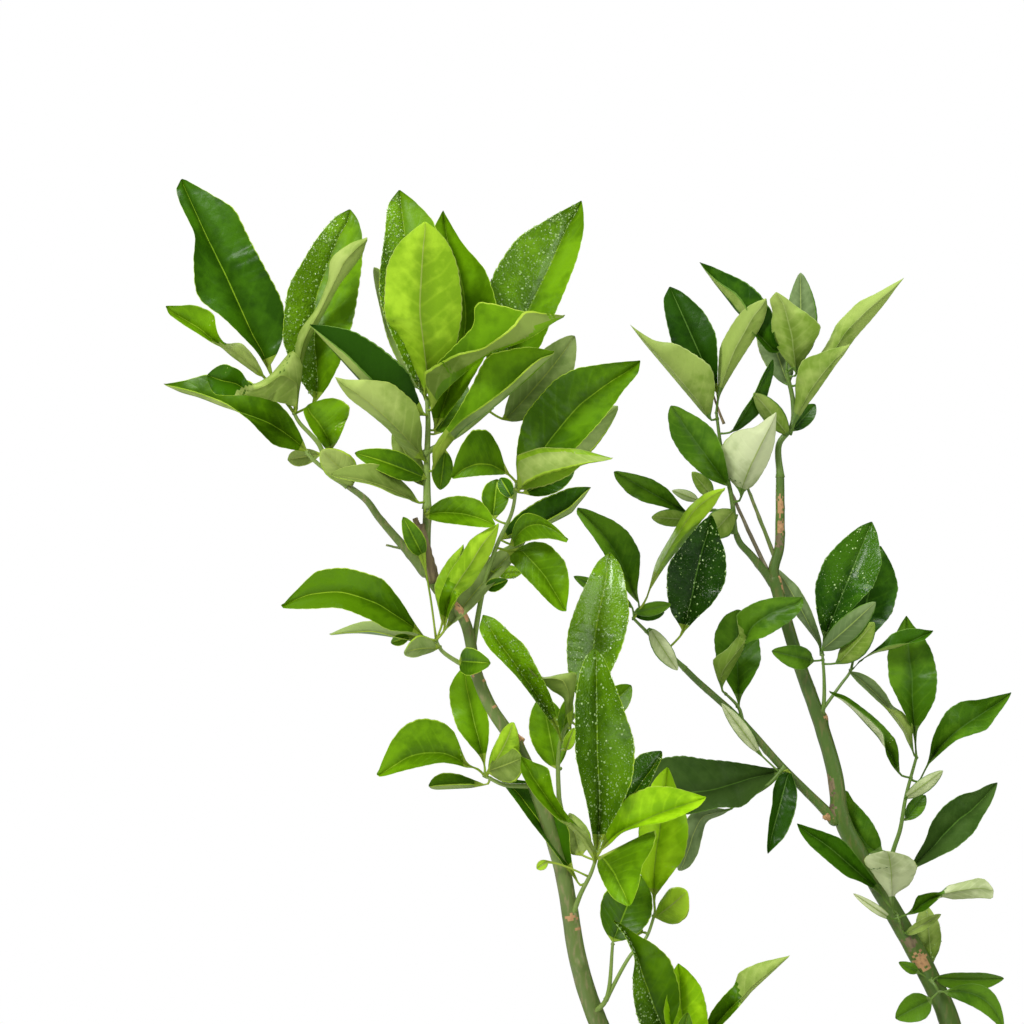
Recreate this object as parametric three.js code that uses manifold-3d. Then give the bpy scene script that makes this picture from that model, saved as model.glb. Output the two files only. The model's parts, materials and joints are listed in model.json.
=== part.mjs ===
// Young orange tree, just under a metre tall, in a plain clay pot.
// Millimetres, +Z up. The origin is under the middle of the pot, and +Y runs away from the front view.
import * as THREE from 'three';
import { mergeVertices } from 'three/addons/utils/BufferGeometryUtils.js';
import Module from 'manifold-3d';

const wasm = await Module();
wasm.setup();

// Driving dimensions
const gap = 0.3;
const weld = 1e-3;
const pot = {
  height: 230,
  footRadius: 90,
  rimRadius: 131,
  wall: 9,
  floor: 12,
  bandHeight: 38,
  bandStep: 6,
  drainRadius: 6,
  drainCircle: 48,
  drains: 4,
  segments: 28,
  drainSides: 10,
};
const soil = { top: 204, edgeDrop: 4, edgeWidth: 14 };
const trunk = {
  forkHeight: 352,
  footRadius: 13,
  forkRadius: 10,
  flare: 0.75,
  flareHeight: 24,
  lobes: 4,
  lobeDepth: 0.28,
  sunk: 8,
  sides: 12,
};
const trunkSteps = 10;
const limbSides = 7;
const twigSides = 3;

// The front view is laid out on an upright sheet, seen from the eye. A place on it is written as millimetres
// right of its left edge and above its lower edge, then how far it lies behind the sheet on its line of sight.
const eye = new THREE.Vector3(-194, -1040, 806);
const sheet = { left: -450, bottom: 550, y: -40, side: 512, margin: 4 };
const rearDepth = 100;

// Leaves: the share of the length at which each cut through the blade lies, from the foot to the tip.
const leaf = {
  thickness: 0.014,
  leastThickness: 0.8,
  fold: 0.32,
  widest: 0.86,
  bluntness: 0.68,
  stalkRadius: 0.75,
  stalkCorners: [[-0.87, 0.5], [0.87, 0.5], [0, -1]],
  shortStalk: 3,
  rootInset: 1.3,
  smallLength: 30,
  fineCuts: [0.3, 0.68],
  plainCuts: [0.45],
  nudge: 7,
  nudges: 5,
};

// Sprays that grow wholly by rule. Twigs leave the stem between two shares of its length and grow shorter
// towards its end, and each stem or twig bends up at its middle. Leaves stand from a first share of a stem or
// twig to the last, and the end leaf follows its twig more closely.
const growth = {
  turn: THREE.MathUtils.degToRad(137.5),
  radius: 2.1,
  bend: 0.35,
  twigSpread: THREE.MathUtils.degToRad(52),
  twigsFrom: 0.2,
  twigsOver: 0.65,
  twigShare: 0.55,
  twigLongest: 1.15,
  twigShortening: 0.5,
  stemLeaves: 6,
  twigLeaves: 3,
  firstOnStem: 0.14,
  firstOnTwig: 0.35,
  lastLeaf: 0.96,
  leafSpread: THREE.MathUtils.degToRad(50),
  endSpread: 0.35,
  leafLift: 0.12,
  leafLength: [54, 80],
  leafWidth: [0.4, 0.48],
  neck: 1.5,
  bow: 0.05,
  faceAhead: 0.6,
  faceUp: 0.8,
  mostFaces: 30,
  secondTries: [0, 0.6, -0.6, 1.2, -1.2],
};

const colours = { clay: 0xb5673f, soil: 0x3a2a1e, bark: 0x6f7a4a, leaf: 0x4f8a1f };

function finish(colour, roughness) {
  return new THREE.MeshStandardMaterial({ color: colour, roughness, metalness: 0 });
}

function seeded(seed) {
  let state = seed * 2654435761;
  return () => {
    state = (state + 0x6d2b79f5) | 0;
    let mixed = Math.imul(state ^ (state >>> 15), 1 | state);
    mixed = (mixed + Math.imul(mixed ^ (mixed >>> 7), 61 | mixed)) ^ mixed;
    return ((mixed ^ (mixed >>> 14)) >>> 0) / 4294967296;
  };
}

const at = (x, y, z) => new THREE.Vector3(x, y, z);

function on(right, up, behind = 0) {
  const flat = at(sheet.left + right, sheet.y, sheet.bottom + up);
  return eye.clone().lerp(flat, 1 + behind / (sheet.y - eye.y));
}

function showsOnSheet(point) {
  const share = (sheet.y - eye.y) / (point.y - eye.y);
  const flat = eye.clone().lerp(point, share);
  const right = flat.x - sheet.left;
  const up = flat.z - sheet.bottom;
  return [right, up].every((place) => place > -sheet.margin && place < sheet.side + sheet.margin);
}

// Closed skins

// Rings of any number of points are joined in turn; the first and last are capped, or are single points.
function skin(rings) {
  const vertices = rings.flat();
  const triangles = [];
  let start = 0;
  rings.slice(1).forEach((next, index) => {
    const near = rings[index].length;
    const far = next.length;
    const second = start + near;
    let i = 0;
    let j = 0;
    while (i < near || j < far) {
      const a = start + (i % near);
      const b = second + (j % far);
      if (j < far && far > 1 && (i === near || near === 1 || (j + 1) / far < (i + 1) / near)) {
        triangles.push(a, second + ((j + 1) % far), b);
        j += 1;
      } else if (near > 1 && i < near) {
        triangles.push(a, start + ((i + 1) % near), b);
        i += 1;
      } else {
        break;
      }
    }
    start = second;
  });
  for (let k = 1; k < rings[0].length - 1; k += 1) {
    triangles.push(0, k + 1, k);
  }
  for (let k = 1; k < rings.at(-1).length - 1; k += 1) {
    triangles.push(start, start + k, start + k + 1);
  }
  return solidOf(vertices.flatMap((point) => point.toArray()), triangles);
}

function solidOf(coordinates, triangles) {
  let volume = 0;
  const [a, b, c] = [new THREE.Vector3(), new THREE.Vector3(), new THREE.Vector3()];
  for (let k = 0; k < triangles.length; k += 3) {
    a.fromArray(coordinates, triangles[k] * 3);
    b.fromArray(coordinates, triangles[k + 1] * 3);
    c.fromArray(coordinates, triangles[k + 2] * 3);
    volume += a.dot(b.cross(c));
  }
  const facing = volume < 0 ? triangles.slice().reverse() : triangles;
  const mesh = new wasm.Mesh({
    numProp: 3,
    vertProperties: new Float32Array(coordinates),
    triVerts: new Uint32Array(facing),
  });
  return new wasm.Manifold(mesh);
}

// Points are set on a fine grid and those that fall together are welded; faces that collapse are dropped.
function weldedGeometry(geometry) {
  geometry.deleteAttribute('normal');
  geometry.deleteAttribute('uv');
  const places = geometry.attributes.position.array.map((value) => Math.round(value / weld) * weld);
  geometry.setAttribute('position', new THREE.BufferAttribute(places, 3));
  const merged = mergeVertices(geometry, weld);
  const corners = Array.from(merged.index.array);
  const triangles = [];
  for (let k = 0; k < corners.length; k += 3) {
    const [a, b, c] = corners.slice(k, k + 3);
    if (a !== b && b !== c && a !== c) {
      triangles.push(a, b, c);
    }
  }
  return { coordinates: Array.from(merged.attributes.position.array), triangles };
}

function solidOfGeometry(geometry) {
  const { coordinates, triangles } = weldedGeometry(geometry);
  return solidOf(coordinates, triangles);
}

// Whether the welded solid is one body in which every edge has just two faces.
function isSound(solid) {
  if (solid.decompose().length !== 1) {
    return false;
  }
  const { triangles } = weldedGeometry(geometryOf(solid));
  const faces = new Map();
  for (let k = 0; k < triangles.length; k += 3) {
    for (let side = 0; side < 3; side += 1) {
      const ends = [triangles[k + side], triangles[k + ((side + 1) % 3)]].sort((a, b) => a - b).join();
      faces.set(ends, (faces.get(ends) ?? 0) + 1);
    }
  }
  return [...faces.values()].every((count) => count === 2);
}

function largestPiece(solid) {
  return solid.decompose().reduce((most, piece) => (piece.volume() > most.volume() ? piece : most));
}

function boxesMeet(first, second) {
  return [0, 1, 2].every((k) => first.min[k] < second.max[k] && second.min[k] < first.max[k]);
}

function meets(first, second) {
  return boxesMeet(first.boundingBox(), second.boundingBox()) && !first.intersect(second).isEmpty();
}

// Limbs

const courseOf = (points) => new THREE.CatmullRomCurve3(points, false, 'centripetal');

// A round limb along a smooth course, tapering from one radius to the other, with an own radius for each ring.
function taperingTube(points, radiusAt, steps, sides) {
  const course = courseOf(points);
  const frames = course.computeFrenetFrames(steps, false);
  const rings = [];
  for (let k = 0; k <= steps; k += 1) {
    const share = k / steps;
    const centre = course.getPointAt(share);
    const ring = [];
    for (let side = 0; side < sides; side += 1) {
      const angle = (side / sides) * Math.PI * 2;
      const radius = radiusAt(share, angle);
      const across = frames.normals[k].clone().multiplyScalar(Math.cos(angle) * radius);
      across.addScaledVector(frames.binormals[k], Math.sin(angle) * radius);
      ring.push(centre.clone().add(across));
    }
    rings.push(ring);
  }
  return skin(rings);
}

function limbSolid({ points, from, to, steps = 8 }, grown = 0) {
  return taperingTube(points, (share) => THREE.MathUtils.lerp(from, to, share) + grown, steps, limbSides);
}

// The trunk leans a little as it rises from a lobed root flare, and is cut flat on the soil.
function trunkSolid(grown = 0) {
  const { footRadius, forkRadius, forkHeight, flare, flareHeight, lobes, sunk } = trunk;
  const foot = at(0, 0, soil.top - sunk);
  const points = [foot, at(1, -1, soil.top + 45), at(-3, 1, soil.top + 100), at(-1, 0, forkHeight + grown)];
  const height = forkHeight - soil.top;
  const radiusAt = (share, angle) => {
    const rise = Math.max(0, share * (height + sunk) - sunk);
    const spread = flare * Math.exp(-rise / flareHeight);
    const lobed = 1 + spread * (1 + trunk.lobeDepth * Math.cos(lobes * angle));
    return THREE.MathUtils.lerp(footRadius, forkRadius, share) * lobed + grown;
  };
  const whole = taperingTube(points, radiusAt, trunkSteps, trunk.sides);
  const ground = new THREE.CylinderGeometry(footRadius * 4, footRadius * 4, sunk * 4, 24);
  ground.rotateX(Math.PI / 2);
  ground.translate(0, 0, soil.top + gap - sunk * 2);
  return whole.subtract(solidOfGeometry(ground));
}

const rear = (right, up, nearer = 0) => on(right, up, rearDepth - nearer);

const limbs = [
  {
    name: 'left_bough',
    points: [
      at(-2, -1, 344), at(-72, -21, 428), at(-126, -36, 500), on(299.5, 0), on(289.5, 30.5), on(281.5, 75.5),
      on(270, 112), on(260, 136), on(244.5, 160), on(238, 176), on(232, 202), on(215, 223.5), on(213.5, 259.5),
    ],
    from: 7.4,
    to: 2.1,
    steps: 19,
  },
  {
    name: 'left_side_bough',
    points: [on(214.5, 224), on(206.5, 233.5), on(190, 252.5), on(183, 262), on(172.5, 270)],
    from: 2.4,
    to: 1.5,
    steps: 7,
  },
  {
    name: 'right_bough',
    points: [
      at(2, 2, 344), at(36, 36, 426), at(50, 56, 492), rear(475, 0), rear(464.5, 24), rear(446.5, 56.5),
      rear(430.5, 83.5), rear(421, 103), rear(417.5, 125), rear(410, 151), rear(399.5, 180.5), rear(386, 224.5),
    ],
    from: 7.8,
    to: 3.1,
    steps: 17,
  },
  {
    name: 'right_upper_bough',
    points: [rear(386, 225), rear(390, 236.5), rear(390, 252), rear(390, 275)],
    from: 2.9,
    to: 2.3,
    steps: 6,
  },
  {
    name: 'right_twin_bough',
    points: [rear(385.5, 222), rear(375.5, 234.5), rear(370, 240.5), rear(367.5, 246.5)],
    from: 2.6,
    to: 1.6,
    steps: 5,
  },
  {
    name: 'right_branch',
    points: [
      rear(416, 103), rear(409.5, 110), rear(391, 128.5), rear(369.5, 152.5), rear(347.5, 172.5, 4),
      rear(341.5, 178.5, 5),
    ],
    from: 2.5,
    to: 1.7,
    steps: 6,
  },
  {
    name: 'outer_high_bough',
    points: [at(5, -2, 345), at(72, -20, 436), at(150, -35, 558), at(196, -48, 690)],
    from: 7.6,
    to: 2.8,
  },
  {
    name: 'back_high_bough',
    points: [at(3, 4, 343), at(62, 84, 428), at(142, 160, 540), at(184, 184, 650)],
    from: 7.2,
    to: 2.8,
  },
  {
    name: 'right_low_bough',
    points: [at(6, 1, 330), at(86, 38, 396), at(176, 58, 436)],
    from: 5.6,
    to: 2.4,
    steps: 6,
  },
  {
    name: 'front_right_bough',
    points: [at(4, -5, 334), at(50, -72, 408), at(104, -120, 462)],
    from: 5.4,
    to: 2.3,
    steps: 6,
  },
  {
    name: 'front_left_bough',
    points: [at(-2, -6, 328), at(-42, -80, 394), at(-84, -130, 432)],
    from: 5.2,
    to: 2.3,
    steps: 6,
  },
  {
    name: 'back_left_bough',
    points: [at(-3, 5, 322), at(-50, 88, 372), at(-92, 142, 396)],
    from: 5.2,
    to: 2.3,
    steps: 6,
  },
  {
    name: 'left_low_bough',
    points: [at(-6, 1, 318), at(-88, 26, 380), at(-164, 38, 414)],
    from: 5.4,
    to: 2.3,
    steps: 6,
  },
];

// Sprays of the front view
//
// Each row of leaves is: foot right, foot up, reach, bearing, out, width, roll, bow, sweep, twist.
// The tip lies at the reach and the bearing (degrees, 0 right and 90 up) from the foot, and out is how far it
// lies behind the foot, or in front where negative. Roll turns the blade round its midrib: 0 shows the upper
// face to the eye and 180 the underside. Bow arches the midrib towards the upper face and sweep curves it
// across the sheet, both as a share of the length. Twist winds the blade from foot to tip, in degrees.
const frontSprays = [
  {
    name: 'left_crown',
    twigs: [
      [on(213.5, 260), on(213.5, 282), on(214, 301), on(213.5, 314)],
      [on(213.5, 286), on(231, 296, 9), on(247, 309, 14)],
    ],
    radius: 2,
    leaves: [
      [212.5, 312, 106, 97, 10, 39, -8, 0.03],
      [212.5, 315, 86.5, 90, -16, 34, 155, 0.04],
      [217.5, 297, 110, 88, 26, 31, 14, 0.03, 0.1],
      [247.5, 314.5, 106.5, 66, 16, 41, -6, 0.05],
      [216, 307, 82, 35, -26, 27, 150, 0.05, -0.08, -60],
      [216.5, 276.5, 85.5, 44, -7, 28, 24, 0.05, 0.05],
      [212.5, 304.5, 73.5, 142, -12, 25, -20, 0.05],
      [212, 282, 61, 137, -26, 26, 160, 0.06],
      [211.5, 269.5, 31, 119, 12, 12, 0, 0.05],
      [222.5, 287, 20, -97, 10, 11, 0, 0.05],
      [218, 295, 30, 60, 22, 14, 0, 0.05],
      [210, 318, 66, 112, 36, 22, 150, 0.05],
      [252.5, 302, 55, 50, 24, 24, 20, 0.05],
      [212.5, 273, 37.5, 160, -8, 14, 20, 0.05],
      [209, 260.5, 46, 162, -24, 22, 62, 0.06],
      [212, 253.5, 36, -7, -24, 22, 0, 0.08],
    ],
  },
  {
    name: 'left_outer_spray',
    twigs: [
      [on(172, 270.5), on(164, 276), on(160, 289), on(149.5, 301), on(146.5, 306.5)],
      [on(166, 275), on(158.5, 280.5), on(152.5, 286.5)],
    ],
    radius: 1.6,
    leaves: [
      [134, 327, 105, 114, 6, 39, 6, 0.03, -0.04],
      [158, 311, 98, 80, 24, 38, 10, 0.03],
      [148.5, 319.5, 82, 64, -4, 25, 128, 0.04, -0.05],
      [148.5, 308, 48, 160, -26, 31, 165, 0.08, 0.4],
      [132.5, 323, 61.5, 144, -8, 21, 120, 0.05, 0, -90],
      [154, 286, 80, 155, 12, 25, 5, 0.04],
      [160, 285, 17, 190, 16, 9, 0, 0.05],
      [165, 286, 26.4, 117, -16, 25, 0, 0.08],
      [177.5, 269.5, 24, 134, -14, 16, 165, 0.06],
    ],
  },
  {
    name: 'left_upper_spray',
    twigs: [[on(236, 185, 2), on(241.5, 217, 3), on(248.5, 239.5), on(256, 256), on(258.5, 272)]],
    radius: 1.5,
    leaves: [
      [259, 267, 50.5, 18, -20, 24, 160, 0.06],
      [260, 267, 88.5, 47, 20, 37, 0, 0.04],
      [267, 277, 52, 37, 36, 20, 170, 0.05],
      [262.5, 265.5, 28, 27, 16, 14, 0, 0.05],
      [256, 263, 12, 120, 10, 8, 0, 0.05],
      [253.5, 275.5, 28.2, 186, -34, 26, 0, 0.1],
      [246.5, 253, 20, 84, 15, 14, 0, 0.05],
      [255, 236, 41, -47, -12, 26, 0, 0.06],
      [256, 239.5, 29, 3, -22, 14, 20, 0.1, -0.3],
      [250, 242, 52.7, 30.2, 22, 19, 10, 0.05],
      [243, 218, 12, 20, -6, 7, 0, 0.05],
      [247, 226, 14, 0, 8, 7, 0, 0.05],
    ],
  },
  {
    name: 'left_side_spray',
    twigs: [[on(237, 176.5, -1), on(221, 186.5, -4), on(217.5, 193, -5)]],
    radius: 1.5,
    leaves: [
      [213.5, 192, 75.2, 167.7, -14, 26, 12, 0.06, 0.34],
      [214, 190, 50, 173, 10, 20, 72, 0.04],
      [205, 194, 10, 200, 8, 6, 0, 0.05],
      [219, 188, 17, 188, -14, 12, 150, 0.1],
      [230, 181.5, 15.5, -4, -15, 14, 0, 0.06],
      [222.5, 197, 60, 63, -20, 22, -30, 0.04, 0.05, 60],
      [221, 199.5, 42, 75, -6, 16, 0, 0.05],
      [224.5, 199.5, 57.5, 48, 14, 14, -30, 0.05],
      [211.5, 234, 22, 117, -10, 10, 0, 0.05],
    ],
  },
  {
    name: 'left_inner_spray',
    twigs: [[on(267, 119, 0), on(252.5, 119.5, 0), on(248.5, 121, 0), on(241, 125, 0)]],
    radius: 1.5,
    leaves: [
      [242.5, 128, 52, 102, 26, 22, 0, 0.04],
      [238, 128, 50, 185, -10, 24, 20, 0.06, 0.4],
      [243.5, 119.5, 29.5, 180, 6, 14, 66, 0.05],
      [244.5, 126, 28, 63, -12, 15, 150, 0.06],
      [244, 126.5, 18, 21, -16, 18, 168, 0.06],
    ],
  },
  {
    name: 'left_tall_spray',
    twigs: [[on(276, 92, 2), on(281, 102, 5), on(279.5, 114, 6), on(280.5, 142.5, 6), on(288.5, 156, 7)]],
    radius: 1.5,
    leaves: [
      [292.5, 157, 80, 81, 16, 31, 0, 0.04],
      [280.5, 142.5, 73.5, 122, -10, 24, 30, 0.05],
      [278, 128, 37, 101, 20, 20, 0, 0.05],
      [280.5, 142, 23, 79, 10, 8, 0, 0.05],
      [285.5, 147.5, 38, 125, -14, 22, 168, 0.05],
      [283, 137, 12, 70, -6, 6, 0, 0.05],
      [292.5, 147, 32, 44, 30, 15, 0, 0.05],
    ],
  },
  {
    name: 'left_front_spray',
    twigs: [[on(285.5, 52, -1), on(290, 64.5, -6), on(295.5, 75.5, -10), on(298, 83, -12)]],
    radius: 1.5,
    leaves: [
      [298, 82, 106, 90.5, -8, 34, 18, 0.03],
      [300, 87, 58.5, 58, 16, 24, -50, 0.05],
      [300, 86, 60, 27, -20, 22, 10, 0.06, -0.08],
      [300, 83.5, 28.7, -58.5, -34, 25, 0, 0.28],
      [297.5, 81, 64.5, 125, -12, 20, 40, 0.05],
      [289.5, 69.5, 65.5, 127, 14, 22, 0, 0.05],
      [290, 85, 22, 105, 22, 14, 170, 0.05],
      [274, 81.5, 7, 215, 2, 5, 0, 0.05],
    ],
  },
  {
    name: 'left_low_spray',
    twigs: [
      [on(297, 6, -3), on(303, 12, -6), on(306.5, 41.5, -4)],
      [on(304, 14, -6), on(315, 34, -4), on(323, 43, 0), on(328, 57, 2)],
    ],
    radius: 1.4,
    leaves: [
      [306.5, 41.5, 36, 68, 18, 26, 0, 0.05],
      [327, 63, 66, 84, 14, 27, 0, 0.05],
      [328, 53.5, 20, 40, -10, 18, 155, 0.06],
      [321, 46, 17, 155, 8, 10, 170, 0.06],
    ],
  },
  {
    name: 'left_foot_spray',
    twigs: [[on(306, -24, -3), on(325, -27, -12), on(345, -22, -18)]],
    radius: 1.6,
    leaves: [
      [334, -10.5, 68.5, 114, -22, 29, -12, 0.05],
      [346, -19, 50, 98, -6, 26, 0, 0.05],
      [350, -8, 62, 43, -12, 23, -20, 0.06, -0.1, 80],
      [340, -16, 22, 80, -20, 12, 0, 0.06],
      [346, -24, 52, -30, -20, 24, 0, 0.12],
      [338, -30, 50, 230, 14, 24, 30, 0.12],
    ],
  },
  {
    name: 'right_crown',
    twigs: [
      [rear(390, 275.5), rear(389.5, 290), rear(396, 299), rear(396.5, 311), rear(393, 327)],
    ],
    radius: 2,
    leaves: [
      [393, 336, 62.5, 134, 6, 20, 32, 0.05],
      [398.5, 324.5, 43, 104, -12, 25, 175, 0.05],
      [400, 332, 44.5, 90, 16, 18, 170, 0.05],
      [394, 319.5, 40, 109, 22, 18, 0, 0.05],
      [398.5, 319.5, 76, 45, -8, 21, 150, 0.05, -0.04],
      [396, 294.5, 54, 57, -14, 22, 170, 0.05],
      [396, 296.5, 18, 49, 10, 10, 0, 0.05],
      [394, 294.5, 27.5, 129, -12, 12, 170, 0.05],
    ],
  },
  {
    name: 'right_crown_left_spray',
    twigs: [
      [rear(367.3, 247.2), rear(366, 262), rear(361, 285), rear(358, 307)],
      [rear(366.5, 254), rear(356, 257), rear(346, 254.5)],
    ],
    radius: 1.5,
    leaves: [
      [359, 314.5, 59.5, 114, 10, 24, 0, 0.05],
      [355, 302, 62.5, 130, -12, 21, 172, 0.05],
      [358.5, 309.5, 59, 65, -6, 19, 168, 0.05],
      [366, 296, 42, 62, -10, 17, 62, 0.05],
      [365, 268.5, 50.5, 126, -12, 20, 0, 0.05],
      [370.5, 262, 47.5, 68, -16, 26, 172, 0.05],
      [356, 264, 16, 130, 6, 9, 170, 0.05],
      [367, 257, 17, 228, -12, 16, 175, 0.06],
      [345, 254.5, 44, 150, 6, 15, 0, 0.05],
      [345, 252, 19.5, 176, -6, 10, 170, 0.05],
      [349, 262, 14, 160, 4, 6, 175, 0.05],
    ],
  },
  {
    name: 'right_branch_tip_spray',
    twigs: [[rear(341, 179, 5), rear(327.5, 192, 6), rear(316, 203.5, 6)]],
    radius: 1.4,
    leaves: [
      [341.5, 195.5, 60.8, 76.2, -10, 29, 0, 0.05],
      [323, 212, 69, 54, -18, 23, 140, 0.05, -0.12],
      [320, 209.5, 58, 123, 10, 23, 0, 0.05, 0.08],
      [317, 204.5, 15.5, 5, 6, 8, 0, 0.05],
      [317, 206, 19, 12, -8, 8, 170, 0.05],
      [325, 198, 25.5, -57, -12, 10, 170, 0.05],
      [316, 209, 33, 153, 16, 9, 0, 0.05],
    ],
  },
  {
    name: 'right_branch_middle_spray',
    twigs: [[rear(371, 152, -1), rear(369.5, 158, -1), rear(362, 166, 1)]],
    radius: 1.2,
    leaves: [
      [361, 167, 61.5, 49, -16, 20, 140, 0.05, -0.05, -110],
      [369.5, 158, 49.5, 90, 14, 24, 0, 0.05],
    ],
  },
  {
    name: 'right_branch_low_spray',
    twigs: [[rear(391, 127, 2), rear(384, 119.5, 2), rear(368, 110, -2)]],
    radius: 1.3,
    leaves: [
      [389, 128, 69, 193, 20, 28, -12, 0.05, 0.08],
      [365, 107, 40, 230, 12, 19, 175, 0.05],
      [395, 124, 43.5, 255, -8, 14, 0, 0.05],
      [379.5, 135.5, 31, 127, -9, 8, 175, 0.05],
    ],
  },
  {
    name: 'right_inner_spray',
    twigs: [
      [rear(411, 153.5, 2), rear(412, 161.5, 2), rear(412, 174, 3), rear(411, 187, 3)],
      [rear(411.5, 157.5, 2), rear(421, 170.5, 0), rear(425, 176, 0), rear(427, 184, 0)],
    ],
    radius: 1.3,
    leaves: [
      [410, 184.5, 49.4, 117, 10, 15, -20, 0.05],
      [412, 192, 64, 68, 10, 29, 0, 0.05],
      [426, 182, 59, 76, 24, 25, 0, 0.05],
      [411, 187, 36, 42, -14, 14, 168, 0.05],
      [419, 180.5, 27.5, 48, -12, 14, 168, 0.05],
      [425.5, 176.5, 46, 26, -8, 16, 38, 0.05],
      [406, 181.5, 21.5, 166, -14, 13, 0, 0.06],
    ],
  },
  {
    name: 'right_outer_spray',
    twigs: [[rear(441, 67, 1), rear(447, 88, 2), rear(450, 97, 2), rear(453, 114, 2), rear(458.5, 134.5, 2)]],
    radius: 1.5,
    leaves: [
      [458, 136, 68.5, 94, 6, 24, 0, 0.05],
      [457, 134.5, 53.4, 128, -10, 16, 58, 0.05],
      [450, 124.5, 55.3, 130.6, -14, 17, 25, 0.05, 0.08],
      [459.5, 121, 64.5, 44, 4, 20, 12, 0.05],
      [452.5, 113, 23.5, 36, -8, 8, 170, 0.05],
      [453, 102, 16, 52, 6, 9, 0, 0.05],
      [440, 87, 36, 124, 12, 18, 0, 0.05],
      [455, 77, 62, 45, 8, 20, 0, 0.05],
    ],
  },
  {
    name: 'right_low_spray',
    twigs: [[rear(446, 57, 3), rear(449, 54, 7), rear(450, 50, 9)]],
    radius: 1.3,
    leaves: [
      [442.5, 62, 58.5, 139, -6, 18, 8, 0.05],
      [446.5, 57, 30, 97, -28, 30, 172, 0.06],
      [452.5, 54.5, 46.3, 13.7, -12, 19, 130, 0.05, 0, -80],
      [452.5, 44.5, 21, 30, 6, 6, 0, 0.05],
      [445.5, 52.5, 23, 146, -6, 5, 0, 0.05],
    ],
  },
  {
    name: 'right_foot_spray',
    twigs: [[rear(464, 23, 3), rear(467, 20, 8), rear(470, 15, 10)]],
    radius: 1.3,
    leaves: [
      [466, 28, 31.5, 95, 14, 15, 0, 0.05],
      [459, 26, 11, 153, -4, 6, 0, 0.05],
      [465, 12, 20, 208, -6, 15, 0, 0.05],
      [467.5, 23, 34.5, 0, 4, 12, 30, 0.05],
      [472.5, 16, 35, -33, -6, 13, 0, 0.05, -0.22],
    ],
  },
];

// Sprays that the front view does not reach: the limb and the share of it where each starts, its heading and
// length, and the count of its twigs. The order gives each the seed of its rule.
const firstSeed = 11;
const fullSprays = [
  {
    name: 'outer_high_top_spray', limb: 'outer_high_bough', share: 1,
    heading: at(0.12, -0.05, 1), length: 150, twigs: 5,
  },
  {
    name: 'outer_high_side_spray', limb: 'outer_high_bough', share: 0.64,
    heading: at(0.9, -0.42, 0.55), length: 105, twigs: 5,
  },
  {
    name: 'back_high_top_spray', limb: 'back_high_bough', share: 1,
    heading: at(0.1, 0.03, 1), length: 140, twigs: 5,
  },
  {
    name: 'back_high_side_spray', limb: 'back_high_bough', share: 0.68,
    heading: at(0.42, 0.9, 0.4), length: 105, twigs: 5,
  },
  {
    name: 'right_low_spray_end', limb: 'right_low_bough', share: 1,
    heading: at(0.9, 0.2, 0.42), length: 110, twigs: 5,
  },
  {
    name: 'front_right_spray', limb: 'front_right_bough', share: 1,
    heading: at(0.5, -0.62, 0.42), length: 95, twigs: 5,
  },
  {
    name: 'front_left_spray', limb: 'front_left_bough', share: 1,
    heading: at(-0.5, -0.72, 0.42), length: 95, twigs: 5,
  },
  {
    name: 'back_left_spray', limb: 'back_left_bough', share: 1,
    heading: at(-0.42, 0.85, 0.1), length: 95, twigs: 5,
  },
  {
    name: 'left_low_spray_end', limb: 'left_low_bough', share: 1,
    heading: at(-0.95, 0.08, 0.26), length: 100, twigs: 5,
  },
  {
    name: 'left_inside_spray', limb: 'left_bough', share: 0.16,
    heading: at(-0.35, 0.75, 0.45), length: 85, twigs: 3,
  },
  {
    name: 'right_inside_spray', limb: 'right_bough', share: 0.16,
    heading: at(-0.5, 0.7, 0.4), length: 85, twigs: 3,
  },
  {
    name: 'outer_inside_spray', limb: 'outer_high_bough', share: 0.3,
    heading: at(0.25, -0.75, 0.3), length: 80, twigs: 3,
  },
].map((spray, index) => ({ ...spray, seed: firstSeed + index }));

// Leaves

// Share of the full width at a share of the length: ovate, widest below the middle, with a drawn-out tip.
function bladeWidth(share) {
  return Math.sin(Math.PI * share ** leaf.widest) ** leaf.bluntness;
}

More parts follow.
